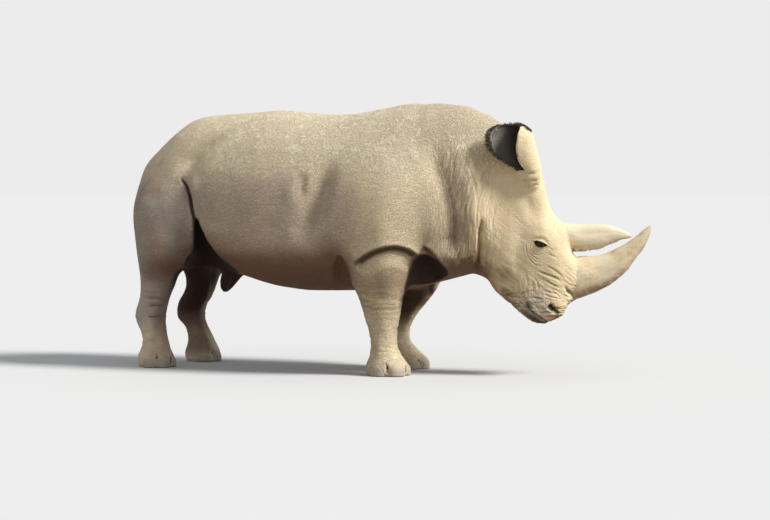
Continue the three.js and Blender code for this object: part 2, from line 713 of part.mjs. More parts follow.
// Each leg is cut level above its foot, and the foot holds three nails.
const ANKLE = 150;
const TOES = [["inner", -1], ["middle", 0], ["outer", 1]];
function addLeg(leg) {
  const shank = aroundLeg(leg, LEG_HEIGHTS, CELL.leg).intersect(legPost(leg, 0)).intersect(above(ANKLE));
  let foot = aroundLeg(leg, FOOT_HEIGHTS, CELL.foot).intersect(above(-GAP / 2)).intersect(below(ANKLE));
  for (const [, toe] of TOES) foot = foot.subtract(nail(leg, toe, GAP));
  add(`leg_${leg.name}`, shank, LOOK.hide);
  add(`foot_${leg.name}`, foot, LOOK.hide);
  for (const [name, toe] of TOES) add(`nail_${leg.name}_${name}`, nail(leg, toe, 0), LOOK.nail);
}

for (const [name, rows] of Object.entries(HORNS)) add(name, horn(rows, 0), LOOK.horn);
add("head", head(), LOOK.hide);
add("lower_jaw", lowerJaw(), LOOK.hide);
const headRoom = netOf(boxOf(REGION.head), CELL.head, GAP);
for (const [name, side] of SIDES) {
  add(`eye_${name}`, eye(side, 0), LOOK.eye);
  add(`ear_${name}`, ear(side).subtract(headRoom), LOOK.ear);
}
add("neck", neck(), LOOK.hide);
add("trunk", trunkSolid(), LOOK.hide);
add("tail", tail(0), LOOK.hide);
add("tail_tuft", tuft().intersect(below(TAIL_ROWS.at(-1)[1] - 1)), LOOK.tuft);
add("sheath", sheath(0), LOOK.belly);
for (const leg of LEGS) addLeg(leg);

// The frame's origin is the middle of the floor rectangle that the animal covers.
const extent = new THREE.Box3().setFromObject(rhinoceros);
const centre = extent.getCenter(new THREE.Vector3());
rhinoceros.position.set(-centre.x, -centre.y, 0);

export default rhinoceros;
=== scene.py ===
"""A white rhinoceros bull, life size: a wrinkled skin over the CAD solids, with horns, eyes, nails and hair.

Metres, in the CAD model's frame: +X towards the head, +Y to the animal's left, +Z up, soles on z = 0.
"""

import contextlib
import itertools
import math

import bmesh
import bpy
import numpy as np
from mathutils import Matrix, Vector
from mathutils.bvhtree import BVHTree


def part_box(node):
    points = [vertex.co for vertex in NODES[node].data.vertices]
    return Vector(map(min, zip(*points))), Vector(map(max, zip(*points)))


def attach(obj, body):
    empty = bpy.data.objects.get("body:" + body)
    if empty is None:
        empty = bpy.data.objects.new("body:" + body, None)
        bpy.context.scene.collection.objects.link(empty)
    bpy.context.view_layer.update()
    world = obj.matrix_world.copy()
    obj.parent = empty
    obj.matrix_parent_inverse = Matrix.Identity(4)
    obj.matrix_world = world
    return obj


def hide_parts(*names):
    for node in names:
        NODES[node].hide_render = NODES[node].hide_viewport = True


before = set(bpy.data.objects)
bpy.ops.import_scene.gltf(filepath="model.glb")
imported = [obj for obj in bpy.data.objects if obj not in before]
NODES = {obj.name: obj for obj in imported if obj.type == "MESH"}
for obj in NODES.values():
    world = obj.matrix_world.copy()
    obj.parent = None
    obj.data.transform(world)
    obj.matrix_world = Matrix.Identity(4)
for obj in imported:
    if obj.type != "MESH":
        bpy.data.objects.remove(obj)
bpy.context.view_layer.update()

# ---------------------------------------------------------------- driving sizes
VOXEL = 0.010            # size of the skin's cells before it is refined
GROWTH = 0.0012          # of the solids, which closes the gaps between them
NAIL_GROWTH = -0.003     # so that the skin lies under the nails
EYE_GROWTH = 0.006       # so that the lids lie over the eyes
HEAD_PITCH = math.radians(72)
EYE_AT = (0.606, 0.038)  # the eyes on the head's axis: along it, and towards the forehead
EYE_RADIUS = 0.027
EYE_SET = 0.006          # how much deeper its middle lies than the solid's
LEVEL_BACK = 0.1         # from the start of the head's axis back to that of its level frame
WELD = 1e-5              # points of a solid that are this near each other are one
SAME = 1e-6              # the same for a mesh that is made here

FLESH = ["trunk", "neck", "head", "lower_jaw", "tail", "sheath"]
LEGS = ["fore_left", "fore_right", "hind_left", "hind_right"]
TOES = ["inner", "middle", "outer"]
SIDES = (("left", 1), ("right", -1))


# ---------------------------------------------------------------- small helpers
def corners(node):
    return [np.array(corner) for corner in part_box(node)]


def middle(node):
    low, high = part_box(node)
    return np.array((low + high) / 2)


def unit(vectors):
    return vectors / np.maximum(np.linalg.norm(vectors, axis=-1, keepdims=True), 1e-9)


def ramp(x, low, high):
    """Rises smoothly from 0 at `low` to 1 at `high`."""
    t = np.clip((x - low) / (high - low), 0, 1)
    return t * t * (3 - 2 * t)


def plateau(x, start, first, last, end):
    """1 from `first` to `last`, falling smoothly to 0 at `start` and `end`."""
    return ramp(x, start, first) * ramp(x, end, last)


def bell(x, width):
    return np.exp(-((x / width) ** 2))


def noise(points, cell, seed):
    """Smooth noise from -1 to 1, with forms about `cell` across, which may differ along x, y and z."""
    scaled = points / np.asarray(cell)
    base = np.floor(scaled).astype(np.int64)
    part = scaled - base
    part = part**3 * (part * (part * 6 - 15) + 10)
    total = np.zeros(len(points))
    for corner in itertools.product((0, 1), repeat=3):
        i, j, k = (base + corner).T
        key = (i * 73856093) ^ (j * 19349663) ^ (k * 83492791) ^ (seed * 26544357 + 97)
        key = (key ^ (key >> 13)) * 1274126177 & 0xFFFFFFFF
        value = ((key ^ (key >> 16)) & 0xFFFF) / 32767.5 - 1
        total += value * np.prod(np.where(corner, part, 1 - part), axis=1)
    return total


def wandering(points, cell, seed, width):
    """Thin lines, 1 along their middles, that wander through space and run along the cells' longest side."""
    finer = noise(points, np.asarray(cell) * 0.45, seed + 11)
    return bell(noise(points, cell, seed) + 0.35 * finer, width)


class Axes:
    """A frame of its own: points and directions into it, and out of it."""

    def __init__(self, origin, x, y, z):
        self.origin = np.array(origin)
        self.rows = np.array([x, y, z])

    def inside(self, points):
        return (points - self.origin) @ self.rows.T

    def outside(self, points):
        return np.asarray(points) @ self.rows + self.origin

    def turned(self, directions):
        return directions @ self.rows.T


def head_axes():
    """The level frame of the head, x forward and z up, and its own frame, x down towards the lips."""
    left, right = middle("eye_left"), middle("eye_right")
    across = unit((left - right) * (1, 1, 0))
    ahead = np.array([across[1], -across[0], 0])
    up = np.array([0.0, 0.0, 1.0])
    down = math.cos(HEAD_PITCH) * ahead - math.sin(HEAD_PITCH) * up
    brow = math.sin(HEAD_PITCH) * ahead + math.cos(HEAD_PITCH) * up
    origin = (left + right) / 2 - EYE_AT[0] * down - EYE_AT[1] * brow
    level = Axes((*(origin - LEVEL_BACK * ahead)[:2], 0), ahead, across, up)
    return level, Axes(origin, down, across, brow)


LEVEL, HEAD = head_axes()


# ---------------------------------------------------------------- meshes
def table(items, field, width, kind=np.float32):
    """What a mesh says of its vertices or edges, one row for each."""
    out = np.empty(len(items) * width, kind)
    items.foreach_get(field, out)
    return out.reshape(-1, width)


def points_of(mesh):
    return table(mesh.vertices, "co", 3).astype(float)


def normals_of(mesh):
    return table(mesh.vertex_normals, "vector", 3).astype(float)


def edges_of(mesh):
    return table(mesh.edges, "vertices", 2, np.int32)


def set_points(mesh, points):
    mesh.vertices.foreach_set("co", points.astype(np.float32).ravel())
    mesh.update()


def set_attribute(mesh, name, values):
    layer = mesh.attributes.get(name) or mesh.attributes.new(name, "FLOAT", "POINT")
    layer.data.foreach_set("value", np.asarray(values, np.float32))


@contextlib.contextmanager
def editing(mesh):
    """A mesh as a BMesh, which is written back in the end."""
    work = bmesh.new()
    work.from_mesh(mesh)
    yield work
    work.to_mesh(mesh)
    work.free()


def linked(name, data):
    obj = bpy.data.objects.new(name, data)
    bpy.context.scene.collection.objects.link(obj)
    return obj


def new_object(name, points, faces):
    mesh = bpy.data.meshes.new(name)
    mesh.from_pydata([tuple(p) for p in points], [], [tuple(int(i) for i in f) for f in faces])
    mesh.update()
    mesh.shade_smooth()
    return linked(name, mesh)


def facing_out(obj):
    with editing(obj.data) as work:
        bmesh.ops.remove_doubles(work, verts=work.verts, dist=SAME)
        bmesh.ops.recalc_face_normals(work, faces=work.faces)
    return obj


def ring_faces(rows, around):
    """Faces between rings of points, each joined to the next."""
    faces = []
    for i in range(rows - 1):
        for j in range(around):
            a, b = i * around + j, i * around + (j + 1) % around
            faces.append([a, b, b + around, a + around])
    return faces


def tube(name, rings):
    """A closed solid through rings of points."""
    rows, around = len(rings), len(rings[0])
    faces = ring_faces(rows, around)
    faces += [list(range(around))[::-1], [(rows - 1) * around + j for j in range(around)]]
    return facing_out(new_object(name, np.concatenate(rings), faces))


def wall(name, outer, inner):
    """A closed wall between two grids of points: each ring goes along the first and back along the second."""
    rows, columns = len(outer), len(outer[0])
    rings = np.concatenate([outer, inner[:, ::-1]], axis=1)
    faces = ring_faces(rows, 2 * columns)
    last = (rows - 1) * 2 * columns
    for j in range(columns - 1):
        strip = [j, j + 1, 2 * columns - 2 - j, 2 * columns - 1 - j]
        faces += [strip, [last + k for k in reversed(strip)]]
    return facing_out(new_object(name, np.concatenate(rings), faces))


def modify(obj, kind, **settings):
    """Replaces an object's mesh by what a modifier makes of it."""
    modifier = obj.modifiers.new(kind, kind)
    for name, value in settings.items():
        setattr(modifier, name, value)
    made = bpy.data.meshes.new_from_object(obj.evaluated_get(bpy.context.evaluated_depsgraph_get()))
    obj.modifiers.clear()
    old = obj.data
    obj.data = made
    bpy.data.meshes.remove(old)


def combine(obj, other, how):
    modify(obj, "BOOLEAN", operation=how, solver="MANIFOLD", object=other)
    bpy.data.objects.remove(other)


def refine(obj, chosen):
    """Divides the faces whose corners are all chosen, each edge in two."""
    pick = chosen(points_of(obj.data))
    with editing(obj.data) as work:
        work.verts.ensure_lookup_table()
        inside = [f for f in work.faces if all(pick[v.index] for v in f.verts)]
        rims = list({e for f in inside for e in f.edges})
        bmesh.ops.subdivide_edges(work, edges=rims, cuts=1, use_grid_fill=True)
    obj.data.shade_smooth()


class Smoother:
    """Evens a mesh out: each step moves every point part of the way to the mean of its neighbours."""

    def __init__(self, mesh):
        self.ends = edges_of(mesh)
        self.count = len(mesh.vertices)
        self.degree = np.bincount(self.ends.ravel(), minlength=self.count).astype(float)[:, None]

    def mean(self, values):
        a, b = self.ends.T
        out = np.empty_like(values)
        for axis, column in enumerate(values.T):
            out[:, axis] = np.bincount(a, column[b], self.count) + np.bincount(b, column[a], self.count)
        return out / np.maximum(self.degree, 1)

    def blur(self, values, share, steps):
        for _ in range(steps):
            values = values + share * (self.mean(values) - values)
        return values

    def round_off(self, points, radius, cell):
        """Blurs over `radius` (one for each point), and gives back the volume that this takes away."""
        most = float(np.max(radius))
        steps = max(1, int(round(most**2 / (0.25 * cell**2))))
        share = 0.5 * (np.asarray(radius) / most)[:, None] ** 2
        once = self.blur(points, share, steps)
        return 2 * once - self.blur(once, share, steps)


def soften(obj, radius, cell=VOXEL):
    """Rounds a mesh off; `radius` works out how far from its points."""
    points = points_of(obj.data)
    set_points(obj.data, Smoother(obj.data).round_off(points, radius(points), cell))


# ---------------------------------------------------------------- the bare skin
# How much of each horn is let into the head, as a share of its length, and the way its length runs.
HORN_PLUGS = {"horn_front": (0.24, (1, 0, 0.4)), "horn_rear": (0.25, (1, 0, 0))}


def copy_of(node, growth):
    """A welded copy of a CAD solid, moved outwards along its normals."""
    mesh = NODES[node].data.copy()
    with editing(mesh) as work:
        bmesh.ops.remove_doubles(work, verts=work.verts, dist=WELD)
        work.normal_update()
        for vertex in work.verts:
            vertex.co += vertex.normal * growth
    return mesh


def plug(node, share, ahead):
    """The part of a horn that is let into the head: its points up to `share` of its length, as a hull."""
    points = points_of(NODES[node].data)
    along = LEVEL.inside(points) @ np.asarray(ahead)
    mesh = bpy.data.meshes.new("plug")
    with editing(mesh) as work:
        for point in points[along < along.min() + share * np.ptp(along)]:
            work.verts.new(point)
        bmesh.ops.convex_hull(work, input=work.verts)
    return mesh


def joined(meshes, name):
    points, faces, start = [], [], 0
    for mesh in meshes:
        points.append(points_of(mesh))
        faces += [[start + i for i in polygon.vertices] for polygon in mesh.polygons]
        start += len(mesh.vertices)
    return new_object(name, np.concatenate(points), faces)


def remesh(obj):
    modify(obj, "REMESH", mode="VOXEL", voxel_size=VOXEL, adaptivity=0, use_smooth_shade=True)
    keep_largest(obj.data)


def keep_largest(mesh):
    """Drops closed shells left inside the body."""
    ends = edges_of(mesh)
    label = np.arange(len(mesh.vertices))
    while True:
        least = np.minimum(label[ends[:, 0]], label[ends[:, 1]])
        new = label.copy()
        np.minimum.at(new, ends[:, 0], least)
        np.minimum.at(new, ends[:, 1], least)
        new = new[new]
        if np.array_equal(new, label):
            break
        label = new
    names, counts = np.unique(label, return_counts=True)
    if len(names) == 1:
        return
    main = names[counts.argmax()]
    with editing(mesh) as work:
        loose = [vertex for vertex in work.verts if label[vertex.index] != main]
        bmesh.ops.delete(work, geom=loose, context="VERTS")


def bare_skin():
    meshes = [copy_of(node, GROWTH) for node in FLESH]
    for leg in LEGS:
        meshes += [copy_of(f"leg_{leg}", GROWTH), copy_of(f"foot_{leg}", GROWTH)]
        meshes += [copy_of(f"nail_{leg}_{toe}", NAIL_GROWTH) for toe in TOES]
    meshes += [copy_of(f"eye_{side}", EYE_GROWTH) for side, _ in SIDES]
    meshes += [plug(node, *where) for node, where in HORN_PLUGS.items()]
    skin = joined(meshes, "skin")
    remesh(skin)
    return skin


def rounding(points):
    """How far the skin is blurred: widely over the trunk, and little over the legs, feet, head and tail."""
    x, y, z = points.T
    rump = corners("tail")[1][0]
    radius = np.full(len(points), 0.048)
    for less, place in (
        (0.034, ramp(z, 0.75, 0.45)),
        (0.022, ramp(z, 0.2, 0.12)),
        (0.024, ramp(HEAD.inside(points)[:, 0], 0.1, 0.4) * ramp(x, 0.7, 0.85)),
        (0.010, ramp(x, rump - 0.05, rump - 0.1) * ramp(np.abs(y), 0.09, 0.06)),
    ):
        radius += (less - radius) * place
    return radius


# ---------------------------------------------------------------- carving and folds
# Deep hollows between two masses: rows of [height, x, half length, inner y], how far the skin lies there from
# the middle plane, and how much the hollow leans backwards as it goes in. x holds at the skin.
HOLLOWS = {
    "groin": ([
        [0.40, -1.00, 0.26, 0.03],
        [0.60, -1.00, 0.238, 0.04],
        [0.64, -1.012, 0.212, 0.05],
        [0.683, -1.024, 0.168, 0.06],
        [0.716, -1.031, 0.140, 0.08],
        [0.764, -1.030, 0.096, 0.12],
        [0.845, -1.060, 0.058, 0.17],
        [0.93, -1.079, 0.032, 0.26],
        [0.985, -1.089, 0.020, 0.32],
    ], 0.43, 0.36),
    "armpit": ([
        [0.40, 0.47, 0.19, 0.06],
        [0.56, 0.47, 0.17, 0.08],
        [0.63, 0.465, 0.145, 0.09],
        [0.69, 0.455, 0.115, 0.12],
        [0.73, 0.445, 0.080, 0.16],
        [0.765, 0.435, 0.030, 0.22],
    ], 0.33, 0.20),
    "elbow": ([
        [0.40, -0.16, 0.14, 0.18],
        [0.58, -0.12, 0.095, 0.24],
        [0.66, -0.094, 0.062, 0.30],
        [0.71, -0.080, 0.036, 0.36],
        [0.745, -0.075, 0.014, 0.41],
    ], 0.46, 0.0),
}
BLADE_SIDES = 20
HOLLOW_EDGE, HOLLOW_END = 0.012, 0.02  # how far beside and beyond a hollow its shade reaches
PATH_STEP = 0.008  # between the points of a path over the skin


def blade(name, side):
    """A cutter for one of the hollows."""
    rows, skin_y, lean = HOLLOWS[name]
    turn = np.arange(BLADE_SIDES) / BLADE_SIDES * 2 * np.pi
    rings = []
    for height, x, half, inner in rows:
        depth = skin_y + (skin_y - inner) * np.cos(turn)
        forward = x - (skin_y - depth) * lean + half * np.sin(turn)
        rings.append(np.stack([forward, side * depth, 0 * turn + height], axis=1))
    return tube(name, rings)


def sunk_in(points, name):
    """How far points lie inside a hollow, in metres from the old skin, or 0 outside it."""
    rows, skin_y, lean = HOLLOWS[name]
    heights, *rest = np.array(rows).T
    depth = np.abs(points[:, 1])
    x, half, inner = (np.interp(points[:, 2], heights, values) for values in rest)
    across = (points[:, 0] + (skin_y - depth) * lean - x) / (half + HOLLOW_EDGE)
    inwards = (skin_y - depth) / (skin_y - inner + HOLLOW_END)
    inside = (across**2 + inwards**2 < 1) & (points[:, 2] < heights[-1] + HOLLOW_END) & (depth < skin_y)
    return (skin_y - depth) * inside


def curve_through(stops):
    """Points at equal steps along a smooth curve through a few stops."""
    stops = np.array(stops, float)
    ends = np.vstack([2 * stops[0] - stops[1], stops, 2 * stops[-1] - stops[-2]])
    out = []
    for a, b, c, d in zip(ends, ends[1:], ends[2:], ends[3:]):
        steps = max(2, int(np.linalg.norm(c - b) / PATH_STEP))
        t = (np.arange(steps) / steps)[:, None]
        bend = (2 * a - 5 * b + 4 * c - d) * t**2 + (3 * b - a - 3 * c + d) * t**3
        out.append(0.5 * (2 * b + (c - a) * t + bend))
    return np.vstack([*out, stops[-1:]])


# Marks that the skin's material reads. crease, under and pit are painted shade; dark is painted shade, and
# also the dark skin at the eyes and the ear's dark hair; face is partly painted light.
MARKS = ("crease", "dark", "under", "pit", "lips", "spot", "face", "neck", "mud", "ear")
HEM_REACH, HEM_EDGE = 0.13, 0.011  # how far beside its path a hem shapes the skin, and its edge's breadth
HEM_ENDS = 0.15  # the shares of its length over which it runs out
BLOCK = 20000  # points that are compared with a path at a time


class Sculpture:
    """The skin while it is shaped: its points, its normals, and marks that its material reads."""

    def __init__(self, obj):
        self.mesh = obj.data
        self.points = points_of(self.mesh)
        self.normals = normals_of(self.mesh)
        self.tree = None
        self.marks = {}
        for name in MARKS:
            layer = self.mesh.attributes.get(name)
            values = np.zeros(len(self.points), np.float32)
            if layer:
                layer.data.foreach_get("value", values)
            self.marks[name] = values.astype(float)

    def write(self):
        for name, values in self.marks.items():
            set_attribute(self.mesh, name, values)
        set_points(self.mesh, self.points)
        self.normals = normals_of(self.mesh)
        self.tree = None

    def mark(self, name, values):
        self.marks[name] = np.maximum(self.marks[name], values)

    def raise_by(self, height):
        self.points = self.points + self.normals * height[:, None]

    def spread(self, near, values):
        """Values for every point, which are 0 but for a few."""
        out = np.zeros(len(self.points))
        out[near] = values
        return out

    def surface(self):
        """The skin as it was written last, to look for places on it."""
        if self.tree is None:
            faces = [tuple(f.vertices) for f in self.mesh.polygons]
            self.tree = BVHTree.FromPolygons([tuple(p) for p in self.points], faces)
        return self.tree

    def distance(self, origin, way):
        """How far it is from a point to the skin, one way."""
        gone = self.surface().ray_cast(tuple(origin), tuple(way))[3]
        return 1.0 if gone is None else gone

    def along(self, stops, reach, side=1):
        """Near a path over the skin: which points, how far across it they are, and how far along (0 to 1)."""
        path = curve_through(np.array(stops) * (1, side, 1))
        path = np.array([self.surface().find_nearest(tuple(p))[0] for p in path])
        low, high = path.min(0) - reach, path.max(0) + reach
        near = np.where(np.all((self.points > low) & (self.points < high), axis=1))[0]
        tangent = unit(np.gradient(path, axis=0))
        spot = self.points[near]
        closest = np.empty(len(near), int)
        for start in range(0, len(near), BLOCK):
            block = spot[start : start + BLOCK]
            closest[start : start + BLOCK] = ((block[:, None] - path[None]) ** 2).sum(2).argmin(1)
        offset = spot - path[closest]
        across = unit(np.cross(self.normals[near], tangent[closest]))
        apart = np.linalg.norm(offset, axis=1)
        signed = np.where((offset * across).sum(1) * side < 0, -apart, apart)
        keep = apart < reach
        return near[keep], signed[keep], closest[keep] / (len(path) - 1)

    def groove(self, stops, width, depth, side=1, *, lip, ends, paint=0.7, far=1.0):
        """A crease along a path, with a soft roll on both sides, and `far` times as wide to its left.

        `ends` are the shares of its length over which it runs out.
        """
        near, offset, along = self.along(stops, 4.0 * width * max(far, 1), side)
        wide = width * np.where(offset > 0, far, 1.0)
        taper = plateau(along, 0, ends[0], 1 - ends[1], 1)
        rolls = bell(np.abs(offset) - 2.1 * wide, 1.1 * wide)
        self.raise_by(self.spread(near, taper * depth * (lip * rolls - bell(offset, wide))))
        # painted shade along the crease
        self.mark("crease", self.spread(near, paint * taper * bell(offset, 0.6 * width)))

    def swell(self, centre, radii, height, side=1):
        away = np.linalg.norm((self.points - np.array(centre) * (1, side, 1)) / radii, axis=1)
        self.raise_by(height * bell(away, 1))

    def stain_and_shade(self, name, stops, first, last, side=1):
        """A mark along a path, whose width runs from `first` to `last`: painted shade in folds and clefts."""
        near, offset, along = self.along(stops, 2 * max(first, last), side)
        width = first + (last - first) * along
        self.mark(name, self.spread(near, ramp(np.abs(offset), width, 0.6 * width) * ramp(along, 0, 0.15)))

    def hem(self, stops, bulge, drop, side):
        """A fold that hangs over the skin to the right of a path: raised on its left, sunk on its right."""
        near, offset, along = self.along(stops, HEM_REACH, side)
        taper = plateau(along, 0, HEM_ENDS, 1 - HEM_ENDS, 1)
        roll = np.exp(-np.maximum(offset, 0) / (0.35 * HEM_REACH)) * ramp(offset, -HEM_EDGE, 2.5 * HEM_EDGE)
        sunk = np.exp(-np.maximum(-offset, 0) / (0.4 * HEM_REACH)) * ramp(offset, HEM_EDGE, -HEM_EDGE)
        fade = ramp(np.abs(offset), HEM_REACH, 0.6 * HEM_REACH)
        self.raise_by(self.spread(near, taper * fade * (bulge * roll - drop * sunk)))
        # painted shadow under the fold's edge
        shade = self.spread(near, taper * bell(offset + HEM_EDGE, 1.6 * HEM_EDGE))
        self.mark("crease", shade)
        self.mark("dark", 0.55 * shade)

    def wrinkle(self, field, cell, seed, width, depth, shade, place):
        """Wandering wrinkles, sunk and marked with painted shade; `field` holds the points as their pattern
        sees them.
        """
        lines = wandering(field, cell, seed, width) * place
        self.raise_by(-depth * lines)
        self.mark("crease", shade * lines)


# Paths over the skin of the right side, [x, y, z]; the left side has the same, mirrored.
SHOULDER = [(0.50, -0.29, 1.42), (0.55, -0.31, 1.30), (0.595, -0.325, 1.19), (0.628, -0.335, 1.07),
            (0.64, -0.33, 0.95), (0.633, -0.31, 0.86), (0.60, -0.27, 0.745)]
THROAT = [(0.80, -0.24, 1.03), (0.79, -0.24, 0.90), (0.77, -0.20, 0.79), (0.735, -0.13, 0.70),
          (0.72, -0.06, 0.66)]
# Each fold: its stops, width, depth, roll, and how much wider it is towards the head.
NECK_FOLDS = [
    ([(0.44, -0.25, 1.54), *SHOULDER], 0.080, 0.046, 0.0, 1.3),
    ([(0.47, -0.27, 1.48), *SHOULDER], 0.015, 0.029, 0.0, 2.2),
    ([(0.67, -0.30, 1.16), (0.685, -0.30, 1.04), (0.68, -0.30, 0.91), (0.66, -0.27, 0.80),
      (0.625, -0.22, 0.70)], 0.010, 0.015, 0.10, 1.6),
    ([(0.58, -0.26, 1.42), (0.64, -0.28, 1.30), (0.69, -0.29, 1.20), (0.723, -0.29, 1.07),
      (0.714, -0.28, 0.90), (0.68, -0.23, 0.74)], 0.008, 0.005, 0.15, 1.3),
    ([(0.615, -0.23, 1.48), (0.68, -0.24, 1.36), (0.73, -0.25, 1.26), (0.767, -0.26, 1.11),
      (0.754, -0.26, 0.93), (0.71, -0.21, 0.74)], 0.007, 0.004, 0.15, 1.3),
    (THROAT, 0.016, 0.042, 0.08, 1.3),
]
# The same for the hollows of the side and the hip.
SIDE_HOLLOWS = [
    ([(-0.12, -0.42, 1.38), (-0.154, -0.458, 1.25), (-0.195, -0.485, 1.12), (-0.236, -0.504, 1.00),
      (-0.282, -0.508, 0.918), (-0.32, -0.48, 0.80)], 0.074, 0.052, 0.1, 0.7),
    ([(-0.30, -0.46, 1.30), (-0.313, -0.486, 1.20), (-0.31, -0.50, 1.08)], 0.040, 0.015, 0.2, 0.7),
    ([(-0.86, -0.29, 1.56), (-0.932, -0.325, 1.524), (-1.056, -0.366, 1.446), (-1.151, -0.393, 1.362),
      (-1.217, -0.407, 1.284), (-1.25, -0.41, 1.22)], 0.045, 0.034, 0.1, 1.2),
]
# Centre, radii and height of what stands out a little, or is sunk.
SWELLINGS = [
    ((-1.00, -0.33, 1.50), (0.10, 0.20, 0.08), 0.008),
    ((-1.15, -0.40, 1.34), (0.08, 0.20, 0.075), -0.012),
    ((-1.10, -0.42, 1.20), (0.035, 0.20, 0.06), 0.010),
    ((-1.31, -0.35, 1.20), (0.10, 0.20, 0.22), 0.012),
    ((-0.60, -0.45, 0.74), (0.42, 0.20, 0.13), 0.024),
    ((0.20, -0.40, 1.00), (0.26, 0.25, 0.22), 0.014),
    ((0.30, -0.42, 1.15), (0.22, 0.25, 0.34), 0.018),
    ((0.76, -0.26, 1.12), (0.09, 0.25, 0.26), 0.016),
    ((0.22, -0.45, 0.64), (0.15, 0.20, 0.12), 0.012),
    ((-0.11, -0.45, 0.68), (0.09, 0.20, 0.12), -0.026),
    ((-1.28, -0.21, 0.60), (0.09, 0.13, 0.06), -0.040),
]
LEG_HEM = [(0.03, -0.46, 0.69), (0.10, -0.48, 0.745), (0.19, -0.48, 0.792), (0.28, -0.45, 0.816),
           (0.36, -0.40, 0.797), (0.41, -0.34, 0.75), (0.455, -0.30, 0.733)]
FRONT_HEM = [(0.445, -0.34, 0.83), (0.495, -0.31, 0.77), (0.53, -0.27, 0.708), (0.53, -0.20, 0.64)]
# Across the outer front of the hocks.
HOCK_LINES = [
    [(-1.49, -0.36, 0.415), (-1.44, -0.36, 0.405), (-1.40, -0.30, 0.408), (-1.38, -0.24, 0.415)],
    [(-1.50, -0.36, 0.342), (-1.45, -0.35, 0.334), (-1.41, -0.31, 0.338), (-1.39, -0.25, 0.350)],
]
CLEFT_HEIGHTS = (0.0, 0.03, 0.06, 0.09, 0.12)
FLANK_FOLD = [(-1.215, -0.43, 1.27), (-1.192, -0.43, 1.235), (-1.160, -0.433, 1.194), (-1.132, -0.447, 1.134),
              (-1.112, -0.455, 1.07), (-1.087, -0.45, 1.00), (-1.070, -0.44, 0.95)]


def body_folds(skin):
    for side in (1, -1):
        for centre, radii, height in SWELLINGS:
            skin.swell(centre, radii, height, side)
        for stops, width, depth, lip, far in SIDE_HOLLOWS:
            skin.groove(stops, width, depth, side, lip=lip, ends=(0.4, 0.4), paint=0.0, far=far)
        for stops, width, depth, lip, far in NECK_FOLDS:
            skin.groove(stops, width, depth, side, lip=lip, ends=(0.35, 0.14), paint=0.80, far=far)
        # painted shade in the flank's fold and down the throat
        skin.stain_and_shade("pit", FLANK_FOLD, 0.007, 0.022, side)
        skin.stain_and_shade("under", THROAT[1:], 0.012, 0.045, side)
        skin.groove(FLANK_FOLD[:-1], 0.012, 0.028, side, lip=0.0, ends=(0.45, 0.45), paint=0.8, far=1.6)
        skin.hem(LEG_HEM, 0.026, 0.034, side)
        skin.hem(FRONT_HEM, 0.016, 0.022, side)
    neck_wrinkles(skin)
    leg_wrinkles(skin)
    toe_clefts(skin)


def neck_wrinkles(skin):
    x, _, z = skin.points.T
    place = plateau(x, 0.46, 0.62, 0.80, 0.95) * ramp(z, 1.60, 1.30) * ramp(z, 0.6, 0.7)
    bowed = skin.points - np.outer(0.34 * (z - 1.05) ** 2 + 0.30 * (1.05 - z) * (z > 1.05), (-1, 0, 0))
    for cell, seed, depth in ((0.028, 5, 0.0030), (0.015, 6, 0.0022)):
        skin.wrinkle(bowed, (cell, 0.06, 0.26), seed, 0.22, depth, 0.45, place)


def leg_wrinkles(skin):
    place = plateau(skin.points[:, 2], 0.10, 0.16, 0.42, 0.60)
    for cell, seed, depth in ((0.032, 8, 0.0030), (0.015, 9, 0.0018)):
        skin.wrinkle(skin.points, (0.20, 0.20, cell), seed, 0.2, depth, 0.4, place)
    for side in (1, -1):
        for stops in HOCK_LINES:
            skin.groove(stops, 0.010, 0.007, side, lip=0.1, ends=(0.25, 0.55), paint=1.3)


def toe_clefts(skin):
    """A cleft runs up the foot between each toe and the next."""
    for leg in LEGS:
        foot = middle(f"foot_{leg}")
        nails = [middle(f"nail_{leg}_{toe}") for toe in TOES]
        for one, other in zip(nails, nails[1:]):
            way = unit(((one + other) / 2 - foot) * (1, 1, 0))
            path = [(*(foot + 0.2 * way)[:2], height) for height in CLEFT_HEIGHTS]
            # painted shade in the cleft
            skin.stain_and_shade("dark", path, 0.011, 0.003)
            skin.groove(path, 0.011, 0.015, lip=0.0, ends=(0.02, 0.45), paint=1.4)


# ---------------------------------------------------------------- ears
# In the head's level frame: height, forward, outward, half length, half breadth, and the two edges of the
# opening, in degrees from straight ahead, turning outwards.
EAR_ROWS = [
    (1.110, 0.235, 0.120, 0.030, 0.024, 103, 106),
    (1.165, 0.250, 0.160, 0.056, 0.046, 101, 108),
    (1.225, 0.256, 0.186, 0.066, 0.056, 98, 112),
    (1.290, 0.244, 0.206, 0.078, 0.064, 104, 136),
    (1.350, 0.196, 0.224, 0.110, 0.076, 94, 158),
    (1.420, 0.158, 0.240, 0.132, 0.086, 82, 172),
    (1.480, 0.146, 0.246, 0.131, 0.086, 74, 182),
    (1.530, 0.138, 0.244, 0.118, 0.078, 62, 194),
    (1.562, 0.134, 0.238, 0.090, 0.064, 40, 214),
    (1.578, 0.132, 0.232, 0.058, 0.048, 10, 238),
]
EAR_WALL = (0.011, 0.006)  # at the root and at the tip
EAR_FLOOR = 1.290  # height of the floor of its cup
EAR_RIM = (0.016, 0.006)  # breadth of the dark rim, partly painted shade and partly dark hair, below the opening and elsewhere


